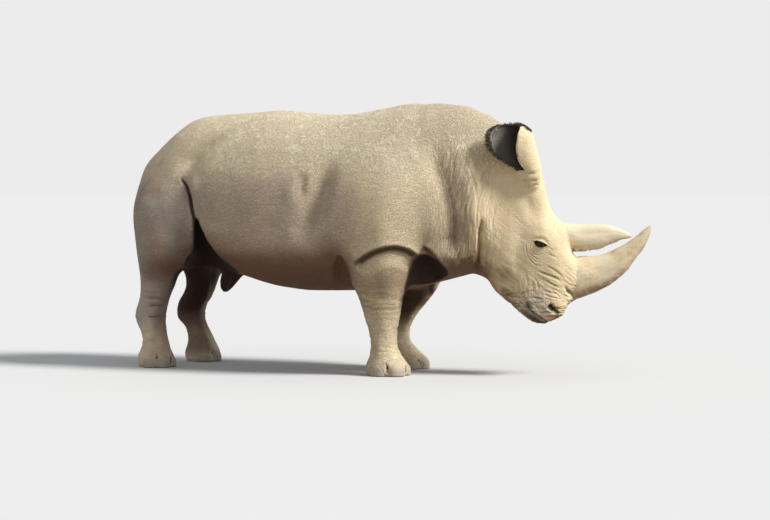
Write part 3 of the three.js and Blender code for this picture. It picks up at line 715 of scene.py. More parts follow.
def through_rows(rows):
    """A smooth curve through rows of numbers, whose first number is the place along the curve."""
    rows = np.array(rows, float)
    places = rows[:, 0]
    slopes = np.gradient(rows[:, 1:], places, axis=0)

    def at(place):
        place = np.clip(np.asarray(place, float), places[0], places[-1])
        i = np.clip(np.searchsorted(places, place, side="right") - 1, 0, len(places) - 2)
        gap = places[i + 1] - places[i]
        t = ((place - places[i]) / gap)[..., None]
        gap = gap[..., None]
        a, b = rows[i, 1:], rows[i + 1, 1:]
        ends = (2 * t**3 - 3 * t**2 + 1) * a + (3 * t**2 - 2 * t**3) * b
        return ends + gap * ((t**3 - 2 * t**2 + t) * slopes[i] + (t**3 - t**2) * slopes[i + 1])

    return at


EAR = through_rows(EAR_ROWS)


def ear_point(height, share, inset, side):
    """A point of the ear's wall: `share` runs round it from its opening's rear edge to the front edge."""
    forward, outward, long, broad, front, rear = np.moveaxis(EAR(height), -1, 0)
    angle = np.radians(rear + (front + 360 - rear) * share)
    x = forward + (long - inset) * np.cos(angle)
    y = outward + (broad - inset) * np.sin(angle)
    return LEVEL.outside(np.stack([x, side * y, height + 0 * x], axis=-1))


def ear(side, around=44, steps=54):
    """The ear as one closed wall, which leaves its opening free."""
    grown = 1 - (1 - np.linspace(0, 1, steps)[:, None]) ** 1.4
    height = EAR_ROWS[0][0] + (EAR_ROWS[-1][0] - EAR_ROWS[0][0]) * grown
    thick = (EAR_WALL[0] + (EAR_WALL[1] - EAR_WALL[0]) * grown) * (1 - 0.5 * ramp(grown, 0.9, 1.0))
    share = np.linspace(0, 1, around)
    return wall("ear", ear_point(height, share, 0.0, side), ear_point(height, share, thick, side))


def ear_root(side, around=24, steps=6):
    """Fills the tube below the floor of the ear's cup."""
    height = np.linspace(EAR_ROWS[0][0], EAR_FLOOR, steps)[:, None]
    return tube("ear_root", ear_point(height, (np.arange(around) + 0.5) / around, 0.001, side))


def in_ear(points, side):
    """Points in an ear's own rings: how far out they are (1 is on the wall), their height, their way from the
    middle of the ring at that height, and the ring."""
    local = LEVEL.inside(points) * (1, side, 1)
    ring = EAR(local[:, 2])
    way = local[:, :2] - ring[:, :2]
    return np.hypot(*(way / ring[:, 2:4]).T), local[:, 2], way, ring


def ear_rounding(points):
    """The ears' roots run softly into the head, and their rims are a little rounded."""
    radius = np.zeros(len(points))
    for _, side in SIDES:
        away, height, _, _ = in_ear(points, side)
        root = plateau(height, 1.10, 1.14, 1.26, 1.33) * ramp(away, 2.4, 1.7)
        rim = ramp(height, 1.28, 1.33) * ramp(away, 1.5, 1.2) * (np.abs(height - 1.5) < 0.25)
        radius = np.maximum(radius, np.maximum(0.016 * root, 0.003 * rim))
    return radius


def add_ears(skin):
    for _, side in SIDES:
        combine(skin, ear(side), "UNION")
        combine(skin, ear_root(side), "UNION")
    soften(skin, ear_rounding, 0.006)


def ear_folds(skin):
    for side in (1, -1):
        for stops in EAR_CREASES:
            skin.groove(mirrored(stops, side), 0.008, 0.011, lip=0.5, ends=(0.3, 0.3), paint=0.9)
        away, height, _, _ = in_ear(skin.points, side)
        place = ramp(np.abs(away - 1), 0.16, 0.10) * ramp(height, 1.20, 1.32) * ramp(height, 1.57, 1.54)
        level = LEVEL.inside(skin.points)
        skin.raise_by(0.0016 * place * noise(level, (0.030, 0.030, 0.045), 71))
        skin.wrinkle(level, (0.05, 0.05, 0.030), 73, 0.22, 0.0014, 0.22, place)


# ---------------------------------------------------------------- the head
# Boxes in which narrow folds need smaller faces: the ends of x, of the distance from the middle plane, of z.
FOLD_BOXES = [
    ((-1.25, -1.02), (0.34, 1), (0.80, 1.29)),
    ((0.42, 0.72), (0.12, 1), (0.62, 1.52)),
    ((-0.04, 0.50), (0.24, 1), (0.62, 0.88)),
    ((-2, -1.30), (-1, 1), (0.30, 0.45)),
]
EYE_SLIT = (0.60, 0.80)  # the way of the eye's slit, down the head and towards the forehead
EYE_HALF = (0.042, 0.0110, 0.021)  # half length of the opening, and its height above and below the slit
LID = 0.0035  # how far the lids stand off the plane of the eyeball's middle, at least
LID_BALL = 1.35  # the lids lie on a wider ball: the square of its radius beside the eyeball's
LID_FADE = (0.060, 0.022)  # from the skin as it was to the lids
LID_RIM, LID_RIM_AT = 0.0030, 0.004  # height and breadth of their rim, and how far it is from the opening
OPENING_EDGE = 0.0012  # half breadth of the step from the lids down to a floor that the eyeball hides


def near_eye(points, reach):
    apart = [np.linalg.norm(points - middle(f"eye_{name}"), axis=1) for name, _ in SIDES]
    return np.min(apart, axis=0) < reach


def head_zone(points):
    return (HEAD.inside(points)[:, 0] > -0.15) & (points[:, 0] > 0.70)


def face_zone(points):
    return near_eye(points, 0.10) | ((HEAD.inside(points)[:, 0] > 0.90) & (points[:, 0] > 0.9))


def fold_zone(points):
    """Where the folds of the flank, the neck, the top of the foreleg and the hock are narrow."""
    places = np.stack([points[:, 0], np.abs(points[:, 1]), points[:, 2]], axis=1)
    inside = np.zeros(len(points), bool)
    for ends in FOLD_BOXES:
        low, high = np.array(ends).T
        inside |= np.all((places > low) & (places < high), axis=1)
    return inside


def over_head(points):
    return ramp(HEAD.inside(points)[:, 0], -0.2, -0.1) * ramp(points[:, 0], 0.66, 0.72)


def eye_frame(side):
    """Origin in the eyeball's middle; x along the slit towards the front, y across it, z outwards."""
    out = unit(HEAD.rows[1] * side + 0.12 * HEAD.rows[2])
    x = EYE_SLIT[0] * HEAD.rows[0] + EYE_SLIT[1] * HEAD.rows[2]
    x = unit(x - (x @ out) * out)
    y = np.cross(out, x) * (-side)
    return Axes(middle("eye_left" if side > 0 else "eye_right") - EYE_SET * out, x, y, out)


def opening(x, y):
    """Height of the eye's opening above or below its slit: nearly straight above, and bowed below."""
    above = EYE_HALF[1] * np.sqrt(np.clip(1 - (x / EYE_HALF[0]) ** 2, 0, 1))
    below = EYE_HALF[2] * np.clip(1 - ((x + 0.004) / (EYE_HALF[0] - 0.004)) ** 2, 0, 1) ** 0.8
    return np.where(y > 0, above, below)


def eyelids(skin):
    """Draws the skin over the eyeball, leaving an almond open with a rounded rim."""
    for _, side in SIDES:
        eye = eye_frame(side)
        local = eye.inside(skin.points)
        x, y, z = local.T
        flat = np.hypot(x, y)
        near = (flat < 0.10) & (z > -0.03)
        beyond = np.abs(x) - EYE_HALF[0]
        gap = np.where(beyond < 0, np.abs(y) - opening(x, y), np.hypot(beyond, y))
        lid = np.maximum(np.sqrt(np.maximum(EYE_RADIUS**2 * LID_BALL - flat**2, 0)), LID)
        height = z + ramp(flat, *LID_FADE) * (np.maximum(lid, z - 0.004) - z)
        rim = LID_RIM * bell(gap - LID_RIM_AT, LID_RIM_AT) * ramp(flat, 0.06, 0.035)
        height += rim * np.where(y > 0, 1.0, 0.6)
        inside = ramp(gap, OPENING_EDGE, -OPENING_EDGE)
        floor = np.sqrt(np.maximum((EYE_RADIUS - 0.004) ** 2 - flat**2, 0)) - 0.002
        local[:, 2] = np.where(near, height * (1 - inside) + np.minimum(height, floor) * inside, z)
        skin.points = np.where(near[:, None], eye.outside(local), skin.points)
        # painted shade round the opening and in its corners, over the lids' dark skin, and in the fold above
        # the eye
        corner = bell(y - 0.002, 0.004) * ramp(beyond, 0.026, 0) * (gap > 0)
        skin.mark("dark", near * np.maximum(bell(np.maximum(gap, 0), 0.0042), 0.85 * corner))
        skin.mark("crease", near * 0.35 * bell(gap - 0.024, 0.0025) * (y > 0))
        skin.mark("lips", near * 0.30 * ramp(gap, 0.026, 0.002) * ramp(y, 0.008, -0.004))


def brows(skin):
    """A soft fold and a ridge over each eye."""
    for _, side in SIDES:
        x, y, z = eye_frame(side).inside(skin.points).T
        away = np.hypot(x / 1.3, y)
        angle = np.degrees(np.arctan2(y, x))
        above = ramp(np.abs((angle - 90 + 180) % 360 - 180), 80, 40) * (z > -0.06)
        skin.raise_by((0.003 * bell(away - 0.050, 0.015) - 0.0015 * bell(away - 0.034, 0.004)) * above)


# In the head's own frame, [down the head, side, towards the forehead], for the right side.
NOSTRIL = [(0.984, -0.155, -0.036), (1.004, -0.156, -0.022), (1.026, -0.156, -0.007), (1.050, -0.144, 0.009)]
MOUTH = [(0.905, -0.14, -0.148), (0.935, -0.138, -0.158), (0.957, -0.134, -0.160), (0.993, -0.13, -0.150),
         (1.037, -0.128, -0.116), (1.068, -0.11, -0.086), (1.084, -0.06, -0.074), (1.088, 0.0, -0.072)]
HORN_DENT = (0.945, -0.080, 0.135)  # where the skin draws back beneath the front horn
HORN_FOLD = [(0.880, -0.13, 0.096), (0.915, -0.13, 0.100), (0.945, -0.12, 0.106), (0.965, -0.09, 0.118),
             (0.975, -0.04, 0.128), (0.978, 0.0, 0.130)]
SPOT_AT = (1.068, 0.125, 0.052)  # a rusty patch on the upper lip
MOUTH_CORNER = (0.922, -0.139, -0.154)
CORNER_TURNS = (35, 75, 115, 160, 200, 245, 290)  # of the wrinkles round it, in degrees
# Each crease: its stops, width, depth, and the painted shade in it.
CREASES = [
    ([(0.40, -0.2, 0.02), (0.52, -0.2, -0.07), (0.64, -0.2, -0.13), (0.78, -0.18, -0.16)], 0.034, 0.007, 0.0),
    ([(0.24, -0.19, 0.02), (0.36, -0.19, 0.05), (0.50, -0.2, 0.07)], 0.036, 0.010, 0.0),
    # round the eye's bag, and inside it
    ([(0.560, -0.2, -0.030), (0.590, -0.2, -0.046), (0.638, -0.2, -0.060), (0.687, -0.19, -0.052),
      (0.728, -0.18, -0.026), (0.738, -0.17, 0.012), (0.715, -0.17, 0.035)], 0.0042, 0.0044, 0.75),
    ([(0.552, -0.2, -0.026), (0.590, -0.2, -0.052), (0.640, -0.2, -0.050), (0.700, -0.18, -0.022),
      (0.712, -0.18, 0.020)], 0.0038, 0.0042, 0.55),
    ([(0.560, -0.2, -0.018), (0.602, -0.2, -0.040), (0.650, -0.2, -0.038), (0.690, -0.18, -0.010),
      (0.690, -0.18, 0.030)], 0.0040, 0.0045, 0.60),
    ([(0.562, -0.2, -0.010), (0.608, -0.2, -0.030), (0.658, -0.19, -0.014), (0.672, -0.19, 0.038)],
     0.0038, 0.0045, 0.60),
    ([(0.636, -0.19, 0.070), (0.652, -0.18, 0.084), (0.668, -0.17, 0.100)], 0.0045, 0.005, 0.5),
    ([(0.680, -0.18, 0.060), (0.700, -0.17, 0.084), (0.728, -0.15, 0.114)], 0.0060, 0.005, 0.4),
    # slanting from the cheek to the front horn
    ([(0.730, -0.17, 0.010), (0.768, -0.16, 0.050), (0.810, -0.15, 0.086),
      (0.866, -0.13, 0.114)], 0.0055, 0.005, 0.35),
    ([(0.750, -0.17, -0.045), (0.782, -0.16, -0.008), (0.815, -0.16, 0.030), (0.846, -0.15, 0.066),
      (0.897, -0.13, 0.101)], 0.0065, 0.009, 0.55),
    ([(0.815, -0.16, -0.020), (0.845, -0.16, 0.008), (0.873, -0.15, 0.031),
      (0.915, -0.14, 0.079)], 0.0060, 0.009, 0.65),
    ([(0.870, -0.15, -0.050), (0.898, -0.15, -0.022), (0.926, -0.15, 0.021),
      (0.950, -0.14, 0.056)], 0.0055, 0.006, 0.4),
    ([(0.905, -0.15, -0.045), (0.935, -0.15, -0.012), (0.962, -0.15, 0.028),
      (0.985, -0.13, 0.062)], 0.0050, 0.005, 0.3),
    ([(0.960, -0.15, 0.040), (0.985, -0.14, 0.052), (1.010, -0.12, 0.066)], 0.0055, 0.005, 0.3),
    # down the cheek to the mouth, and round its corner
    ([(0.770, -0.16, -0.170), (0.805, -0.15, -0.176), (0.845, -0.14, -0.180)], 0.0055, 0.005, 0.4),
    ([(0.745, -0.16, -0.110), (0.790, -0.16, -0.108), (0.846, -0.15, -0.122)], 0.0055, 0.005, 0.4),
    ([(0.790, -0.16, -0.070), (0.835, -0.16, -0.056), (0.882, -0.15, -0.063)], 0.0055, 0.006, 0.45),
    ([(0.796, -0.14, -0.214), (0.835, -0.13, -0.214), (0.874, -0.12, -0.218)], 0.0055, 0.005, 0.35),
    ([(0.925, -0.13, -0.190), (0.895, -0.13, -0.182), (0.868, -0.14, -0.164), (0.866, -0.15, -0.117),
      (0.885, -0.15, -0.058)], 0.0045, 0.0045, 0.5),
    ([(0.905, -0.15, -0.125), (0.925, -0.15, -0.085), (0.945, -0.15, -0.048)], 0.0060, 0.006, 0.5),
    ([(0.905, -0.12, -0.205), (0.940, -0.12, -0.195), (0.965, -0.12, -0.180)], 0.0065, 0.007, 0.5),
    ([(0.950, -0.14, -0.130), (0.968, -0.14, -0.108), (0.995, -0.14, -0.095)], 0.0055, 0.006, 0.45),
]
EAR_CREASES = [
    [(0.120, -0.19, 0.040), (0.150, -0.23, 0.070), (0.170, -0.25, 0.115), (0.178, -0.23, 0.165)],
    [(0.180, -0.20, 0.040), (0.208, -0.23, 0.080), (0.222, -0.23, 0.125), (0.222, -0.20, 0.165)],
    [(0.220, -0.20, 0.040), (0.240, -0.23, 0.085), (0.252, -0.22, 0.125), (0.250, -0.20, 0.160)],
]


def mirrored(stops, side):
    """Stops of the head's right side, in the model's frame, on the side asked for (1 is the right)."""
    return HEAD.outside(np.array(stops) * (1, side, 1))


def head_folds(skin):
    dark_openings(skin)
    for side in (1, -1):
        for stops, width, depth, shade in CREASES:
            skin.groove(mirrored(stops, side), width, 0.72 * depth, lip=0.30, ends=(0.35, 0.35), paint=shade)
        skin.groove(mirrored(NOSTRIL, side), 0.014, 0.026, lip=0.10, ends=(0.10, 0.30))
        skin.groove(mirrored(MOUTH, side), 0.009, 0.014, lip=0.20, ends=(0.30, 0.02), paint=0.6)
        skin.swell(mirrored([HORN_DENT], side)[0], 0.034, -0.020)
        skin.groove(mirrored(HORN_FOLD, side), 0.010, 0.016, lip=0.05, ends=(0.45, 0.02), paint=0.95)
        for turn in np.radians(CORNER_TURNS):
            way = np.array([math.sin(turn), 0, math.cos(turn)])
            path = [np.array(MOUTH_CORNER) + reach * way for reach in (0.008, 0.022, 0.040)]
            skin.groove(mirrored(path, side), 0.0045, 0.0045, lip=0.2, ends=(0.1, 0.6), paint=0.7)
    muzzle_wrinkles(skin)


def dark_openings(skin):
    """Painted shade in the nostrils and along the mouth's line, and painted shadow over the lower lip."""
    for side in (1, -1):
        for stops, width, tip, strength in ((NOSTRIL, 0.019, 0.6, 1.0), (MOUTH, 0.008, 1.2, 0.7)):
            near, offset, along = skin.along(mirrored(stops, side), 4 * width)
            width = width * (1 + (tip - 1) * along)
            values = strength * bell((offset / width) ** 2, 1) * ramp(along, 0, 0.06)
            skin.mark("dark", skin.spread(near, values))
        near, offset, along = skin.along(mirrored(MOUTH, side), 0.07)
        below = plateau(-offset * side, -0.004, 0.020, 0.060, 0.069)
        skin.mark("dark", skin.spread(near, 0.90 * below * ramp(along, 0.0, 0.40)))


def muzzle_wrinkles(skin):
    """Slanting wrinkles between the eye, the horn and the mouth, and fine ones over the lips and the jowl."""
    along, side, up = HEAD.inside(skin.points).T
    head = (skin.points[:, 0] > 0.75) * ramp(along, 0.0, 0.05)
    slanting = np.stack([0.84 * along + 0.54 * up, 0.84 * up - 0.54 * along, side], axis=1)
    place = head * plateau(along, 0.74, 0.84, 1.0, 1.08) * ramp(up, -0.17, -0.10)
    skin.wrinkle(slanting, (0.20, 0.036, 0.30), 21, 0.24, 0.0030, 0.35, place)
    lips = head * ramp(along, 0.90, 0.97)
    skin.wrinkle(np.stack([along, up, side], axis=1), (0.022, 0.030, 0.05), 33, 0.24, 0.0022, 0.45, lips)
    jowl = head * plateau(along, 0.78, 0.86, 0.93, 1.0) * ramp(up, 0.0, -0.07)
    for cell, seed, depth in ((0.020, 39, 0.0022), (0.011, 40, 0.0014)):
        skin.wrinkle(LEVEL.inside(skin.points), (cell, 0.08, 0.12), seed, 0.22, depth, 0.5, jowl)
    cheek = head * plateau(along, 0.30, 0.45, 0.8, 1.0) * ramp(up, 0.05, -0.05)
    skin.wrinkle(slanting, (0.30, 0.05, 0.30), 47, 0.16, 0.0012, 0.10, cheek)


# ---------------------------------------------------------------- marks that the skin's material reads
def paint(skin):
    x, y, z = skin.points.T
    apart = np.abs(y)
    facing_x, facing_y, facing_z = skin.normals.T
    # painted shade on the undersides, and under the jaw
    skin.mark("under", ramp(facing_z, -0.05, -0.70) * ramp(z, 0.35, 0.45) * ramp(x, 0.95, 0.75))
    skin.mark("under", 0.9 * ramp(facing_z, -0.25, -0.62) * ramp(x, 0.80, 0.90) * ramp(z, 0.85, 0.70))

    # painted shade on the legs' inner sides, on the inner fronts of the hind shins, and in the hollows
    # between the legs and the body
    inwards = ramp(facing_y * np.sign(y), -0.15, -0.6) * ramp(z, 0.95, 0.75) * (x < 0.62)
    inner = inwards * ramp(z, 0.18, 0.4)
    skin.mark("under", inner)
    skin.mark("under", 0.8 * inwards * plateau(x, -1.70, -1.60, -0.95, -0.80) * ramp(z, 0.01, 0.10))
    skin.mark("pit", 0.92 * inner * plateau(x, -1.62, -1.52, -0.95, -0.80))
    skin.mark("pit", 0.85 * inner * ramp(x, 0.0, 0.1) * ramp(z, 0.10, 0.45))
    for name in ("groin", "armpit"):
        skin.mark("pit", ramp(sunk_in(skin.points, name), 0.0, 0.09) * ramp(z, 0.36, 0.50))
    between = ramp(apart, 0.33, 0.25) * plateau(x, -1.60, -1.50, -1.00, -0.90)
    skin.mark("pit", 0.95 * between * plateau(z, 0.40, 0.58, 0.85, 0.95))
    shin = ramp(facing_x, 0.15, 0.6) * ramp(apart, 0.42, 0.32) * ramp(x, -0.95, -1.05)
    skin.mark("under", 0.6 * shin * plateau(z, 0.12, 0.30, 0.80, 0.95))
    behind_leg = ramp(np.hypot((x + 0.10) / 0.24, (z - 0.66) / 0.20), 1.0, 0.15) * ramp(x, 0.03, -0.02)
    before_leg = 0.95 * plateau(x, 0.40, 0.46, 0.70, 0.86) * ramp(z, 0.76, 0.66)
    for values in (ramp(sunk_in(skin.points, "elbow"), 0.01, 0.12), behind_leg, before_leg):
        skin.mark("under", values * ramp(z, 0.42, 0.55))

    # the head, the neck and the back
    on_head = HEAD.inside(skin.points)
    along, across, up = on_head.T
    skin.mark("lips", ramp(along, 0.85, 0.93) * ramp(up, 0.0, -0.06) * (x > 0.8))
    # the face, paler: partly painted light
    skin.mark("face", ramp(along, -0.05, 0.2) * (x > 0.72))
    spot = np.linalg.norm((np.abs(on_head) - SPOT_AT) / (1, 1, 1.6), axis=1)
    skin.mark("spot", ramp(spot, 0.026, 0.010) * (x > 0.9) * (y < 0))
    # painted shade at the mouth's corner
    corner = np.hypot((along - MOUTH_CORNER[0] - 0.034) / 1.5, up - MOUTH_CORNER[2])
    skin.mark("dark", 0.85 * ramp(corner, 0.036, 0.004) * (x > 0.8) * (np.abs(across) > 0.08))
    skin.mark("mud", ramp(z, 1.18, 1.36) * plateau(x, -1.3, -0.75, 0.30, 0.55))
    skin.mark("neck", plateau(x, 0.40, 0.55, 0.80, 0.98) * ramp(z, 1.66, 1.45))
    for _, side in SIDES:
        paint_ear(skin, side)


def paint_ear(skin, side):
    """The dark cup, its rim darkened partly by painted shade and partly by dark hair, and the painted shade
    of its front, by where a point lies in the ear's own rings.
    """
    away, height, way, ring = in_ear(skin.points, side)
    _, _, long, broad, front, rear = ring.T
    facing = LEVEL.turned(skin.normals)[:, :2] * (1, side)
    inward = (way * facing).sum(1) < 0.3 * np.linalg.norm(way, axis=1)
    cup = inward & (away < 1 - 0.4 * EAR_WALL[0] / long) & (height > EAR_FLOOR - 0.015) & (height < 1.60)
    skin.mark("ear", cup.astype(float))
    skin.mark("pit", 0.95 * cup * ramp(way[:, 0], -0.085, 0.02))
    skin.mark("face", ramp(away, 1.6, 1.2) * ramp(height, 1.12, 1.2))
    angle = np.degrees(np.arctan2(way[:, 1], way[:, 0]))
    round_rear, round_front = np.radians([(angle - rear) % 360, (front - angle) % 360]) * (long + broad) / 2
    at_wall = ramp(np.abs(away - 1), 0.30, 0.20) * ramp(height, EAR_FLOOR - 0.01, EAR_FLOOR + 0.02)
    rim = EAR_RIM[1] + (EAR_RIM[0] - EAR_RIM[1]) * ramp(height, 1.46, 1.40)
    edge = np.maximum(ramp(round_rear, rim, 0.6 * rim), ramp(round_front, EAR_RIM[1], 0.5 * EAR_RIM[1]))
    tip = EAR_ROWS[-1][0]
    top = ramp(height, tip - 0.022, tip - 0.012) * ramp(away, 1.5, 1.3) * (height < 1.62)
    skin.mark("dark", 0.9 * np.maximum(edge * at_wall, top))


# ---------------------------------------------------------------- horns, eyes and nails
# In the head's level frame: forward, up, half height, half width.
FRONT_HORN = [
    (0.500, 0.610, 0.134, 0.104),
    (0.560, 0.622, 0.130, 0.100),
    (0.683, 0.653, 0.108, 0.078),
    (0.790, 0.709, 0.085, 0.060),
    (0.868, 0.774, 0.061, 0.046),
    (0.931, 0.838, 0.045, 0.034),
    (0.977, 0.900, 0.028, 0.021),
    (1.004, 0.944, 0.007, 0.006),
]
REAR_HORN = [
    (0.430, 0.874, 0.084, 0.062),
    (0.490, 0.872, 0.086, 0.060),
    (0.569, 0.867, 0.086, 0.054),
    (0.664, 0.873, 0.082, 0.046),
    (0.746, 0.886, 0.062, 0.034),
    (0.815, 0.887, 0.038, 0.020),
    (0.886, 0.878, 0.006, 0.004),
]
# Each horn: its rows, its seed, how deep its underside is nicked, and how much paler it is.
HORNS = {"horn_front": (FRONT_HORN, 50, 0.0025, 0.1), "horn_rear": (REAR_HORN, 60, 0.010, 0.75)}

CORNEA_EDGE, CORNEA_RISE = 0.78, 0.0022  # where on the eye's axis it starts (1 is its tip), and its height
FIBRE_DEPTH, LUMP_DEPTH = 0.0012, 0.0035  # of a horn's surface
HORN_FULL = 0.06  # half breadth from which a horn is as uneven as that

NAIL_WIDTH = 1.14     # breadth beside its solid
NAIL_GRID = (26, 34)
NAIL_CLEAR = 0.004    # height of its lower edge
NAIL_UPRIGHT = 0.034  # below this height it stands upright
NAIL_REACH = 0.20     # how far out it starts to look for the skin
NAIL_DEPTH = 0.06     # most that it runs back from the toe's tip
NAIL_PROUD = 0.008    # over the skin
NAIL_SUNK = 0.0015    # of its edges, under the skin
NAIL_RIDGES = 0.0006
NAIL_THICK = 0.016


def horn(name, around=96, steps=150):
    """A horn of matted fibres: fine ridges run along it, its root is frayed and its underside uneven."""
    rows, seed, nicked, paler = HORNS[name]
    rows = np.array(rows)
    at = 1 - (1 - np.linspace(0, 1, steps)) ** 1.25
    forward, up, tall, broad = through_rows(np.column_stack([np.linspace(0, 1, len(rows)), rows]))(at).T
    lie = unit(np.stack([np.gradient(forward, at), np.gradient(up, at)], axis=1))
    angle = np.arange(around) / around * 2 * np.pi
    high = np.cos(angle) * tall[:, None]
    x = forward[:, None] - lie[:, 1, None] * high
    z = up[:, None] + lie[:, 0, None] * high
    y = np.sin(angle) * broad[:, None]
    grid = np.stack([x, y, z], axis=2).reshape(-1, 3)
    outward = grid - np.repeat(np.stack([forward, 0 * up, up], axis=1), around, axis=0)
    size = np.linalg.norm(outward, axis=1)
    along = np.repeat(at, around)
    turn = np.tile(angle, steps)
    ring = np.stack([6 * np.cos(turn), 6 * np.sin(turn), along * 3], axis=1)
    fibres = noise(ring, (0.55, 0.55, 1.6), seed) + 0.5 * noise(ring, (0.25, 0.25, 0.9), seed + 1)
    lumps = noise(grid, (0.10, 0.06, 0.05), seed + 2)
    nicks = np.abs(noise(grid, (0.022, 0.05, 0.05), seed + 3)) * ramp(-np.cos(turn), 0.55, 0.95)
    depth = FIBRE_DEPTH * fibres + LUMP_DEPTH * lumps - nicked * nicks * ramp(along, 0.25, 0.4)
    depth *= np.clip(size / HORN_FULL, 0, 1) * ramp(along, 1.0, 0.9)
    grid = LEVEL.outside(grid + unit(outward) * depth[:, None])
    made = tube(name + "_shape", grid.reshape(steps, around, 3))
    set_attribute(made.data, "along", along)
    set_attribute(made.data, "below", ramp(-np.cos(turn), 0.35, 0.95))
    made.data.materials.append(horn_material(paler))
    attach(made, "root")
    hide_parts(name)


def eyeball(name, side):
    """A glossy ball with a shallow cornea; its pupil and iris are in its material, from its own axis."""
    mesh = bpy.data.meshes.new(f"eyeball_{name}")
    with editing(mesh) as work:
        bmesh.ops.create_uvsphere(work, u_segments=48, v_segments=32, radius=EYE_RADIUS)
    points = points_of(mesh)
    forward = points[:, 2] / EYE_RADIUS
    points *= (1 + ramp(forward, CORNEA_EDGE, 1.0) * CORNEA_RISE / EYE_RADIUS)[:, None]
    set_attribute(mesh, "iris", forward)
    set_points(mesh, eye_frame(side).outside(points))
    mesh.shade_smooth()
    made = facing_out(linked(mesh.name, mesh))
    made.data.materials.append(eye_material())
    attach(made, "root")
    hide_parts(f"eye_{name}")


def nail(leg, toe, skin):
    """A broad, domed nail over the front of its toe: it follows the skin and stands a little proud of it."""
    node = f"nail_{leg}_{toe}"
    low, high = corners(node)
    centre = (low + high) / 2
    outward = unit((centre - middle(f"foot_{leg}")) * (1, 1, 0))
    across = np.array([-outward[1], outward[0], 0])
    wide = NAIL_WIDTH * np.ptp(points_of(NODES[node].data) @ across) / 2
    v, u = np.meshgrid(np.linspace(0, 1, NAIL_GRID[0]), np.linspace(-1, 1, NAIL_GRID[1]), indexing="ij")
    aside = u * wide * np.sqrt(1 - (0.985 * v) ** 2.8)
    rise = NAIL_CLEAR + (high[2] - NAIL_CLEAR) * v
    start = centre * (1, 1, 0)
    ahead = np.empty(u.shape)
    for cell in np.ndindex(u.shape):
        origin = start + NAIL_REACH * outward + aside[cell] * across + (0, 0, max(rise[cell], NAIL_UPRIGHT))
        ahead[cell] = NAIL_REACH - skin.distance(origin, -outward)
    ahead = np.maximum(ahead, ahead.max() - NAIL_DEPTH)
    for _ in range(4):
        padded = np.pad(ahead, 1, mode="edge")
        ahead = (padded[:-2, 1:-1] + padded[2:, 1:-1] + padded[1:-1, :-2] + padded[1:-1, 2:]) / 4
    ahead += NAIL_PROUD * (1 - np.abs(u) ** 4) * (1 - v**5) - NAIL_SUNK
    front = start + ahead[..., None] * outward + aside[..., None] * across
    front[..., 2] = rise
    own = front.reshape(-1, 3) @ np.array([across, outward, (0, 0, 1.0)]).T
    front += NAIL_RIDGES * noise(own, (0.006, 0.03, 0.05), 4).reshape(*u.shape, 1) * outward
    made = wall(node + "_shape", front, front - outward * NAIL_THICK)
    made.data.materials.append(nail_material())
    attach(made, "root")
    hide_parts(node)


# ---------------------------------------------------------------- bristles and lashes
BRISTLE_STEPS, BRISTLE_SIDES = 5, 3
BRISTLE_PATCH = 0.003  # size of a bristle on the map
MAP_START, MAP_LENGTH, MAP_MIDDLE = -2.0, 4.2, 0.9  # along x, and the height that it is unrolled round
TUFT_RISE = 0.042      # how far up the tail the tuft's first bristles stand
FRINGE_COUNT, TUFT_COUNT, LASH_COUNT = 1200, 640, 26
FRINGE_FORM, TUFT_FORM, LASH_FORM = (0.0014, 0.15), (0.0016, 0.0), (0.0005, 0.35)  # radius and droop


def unwrapped(place):
    """Where a place on the skin lies on a map of the body's shape, unrolled round its length."""
    turn = math.atan2(place[1], place[2] - MAP_MIDDLE) / (2 * math.pi)
    return (place[0] - MAP_START) / MAP_LENGTH, turn + 0.5


def bristles(name, strands, replaces=()):
    """One mesh of tapered, closed bristles: each has a root, a way, a length, a radius and a droop."""
    steps, sides = BRISTLE_STEPS, BRISTLE_SIDES
    points, faces, maps = [], [], []
    tip = steps * sides
    own = ring_faces(steps, sides)
    own += [[tip - sides + j, tip - sides + (j + 1) % sides, tip] for j in range(sides)]
    own.append(list(range(sides))[::-1])
    for root, way, length, radius, droop in strands:
        way = unit(np.array(way, float))
        across = unit(np.cross(way, (0.31, 0.17, 0.93)))
        other = np.cross(way, across)
        start = len(points)
        u, v = unwrapped(root)
        spots = []
        for i in range(steps):
            t = i / steps
            spine = root + length * t * way + (0, 0, -droop * length * t**2)
            for j in range(sides):
                angle = 2 * math.pi * j / sides
                ring = radius * (1 - t) ** 0.7
                points.append(spine + ring * (math.cos(angle) * across + math.sin(angle) * other))
                spots.append((u + BRISTLE_PATCH * j / sides, v + BRISTLE_PATCH * t))
        points.append(root + length * way + (0, 0, -droop * length))
        spots.append((u + BRISTLE_PATCH / 2, v + BRISTLE_PATCH))
        faces += [[start + k for k in face] for face in own]
        maps += [spots[k] for face in own for k in face]
    made = new_object(name, points, faces)
    layer = made.data.uv_layers.new(name="OFBake")
    layer.data.foreach_set("uv", np.array(maps, np.float32).ravel())
    made.data.materials.append(hair_material())
    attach(made, "root")
    if replaces:
        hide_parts(*replaces)


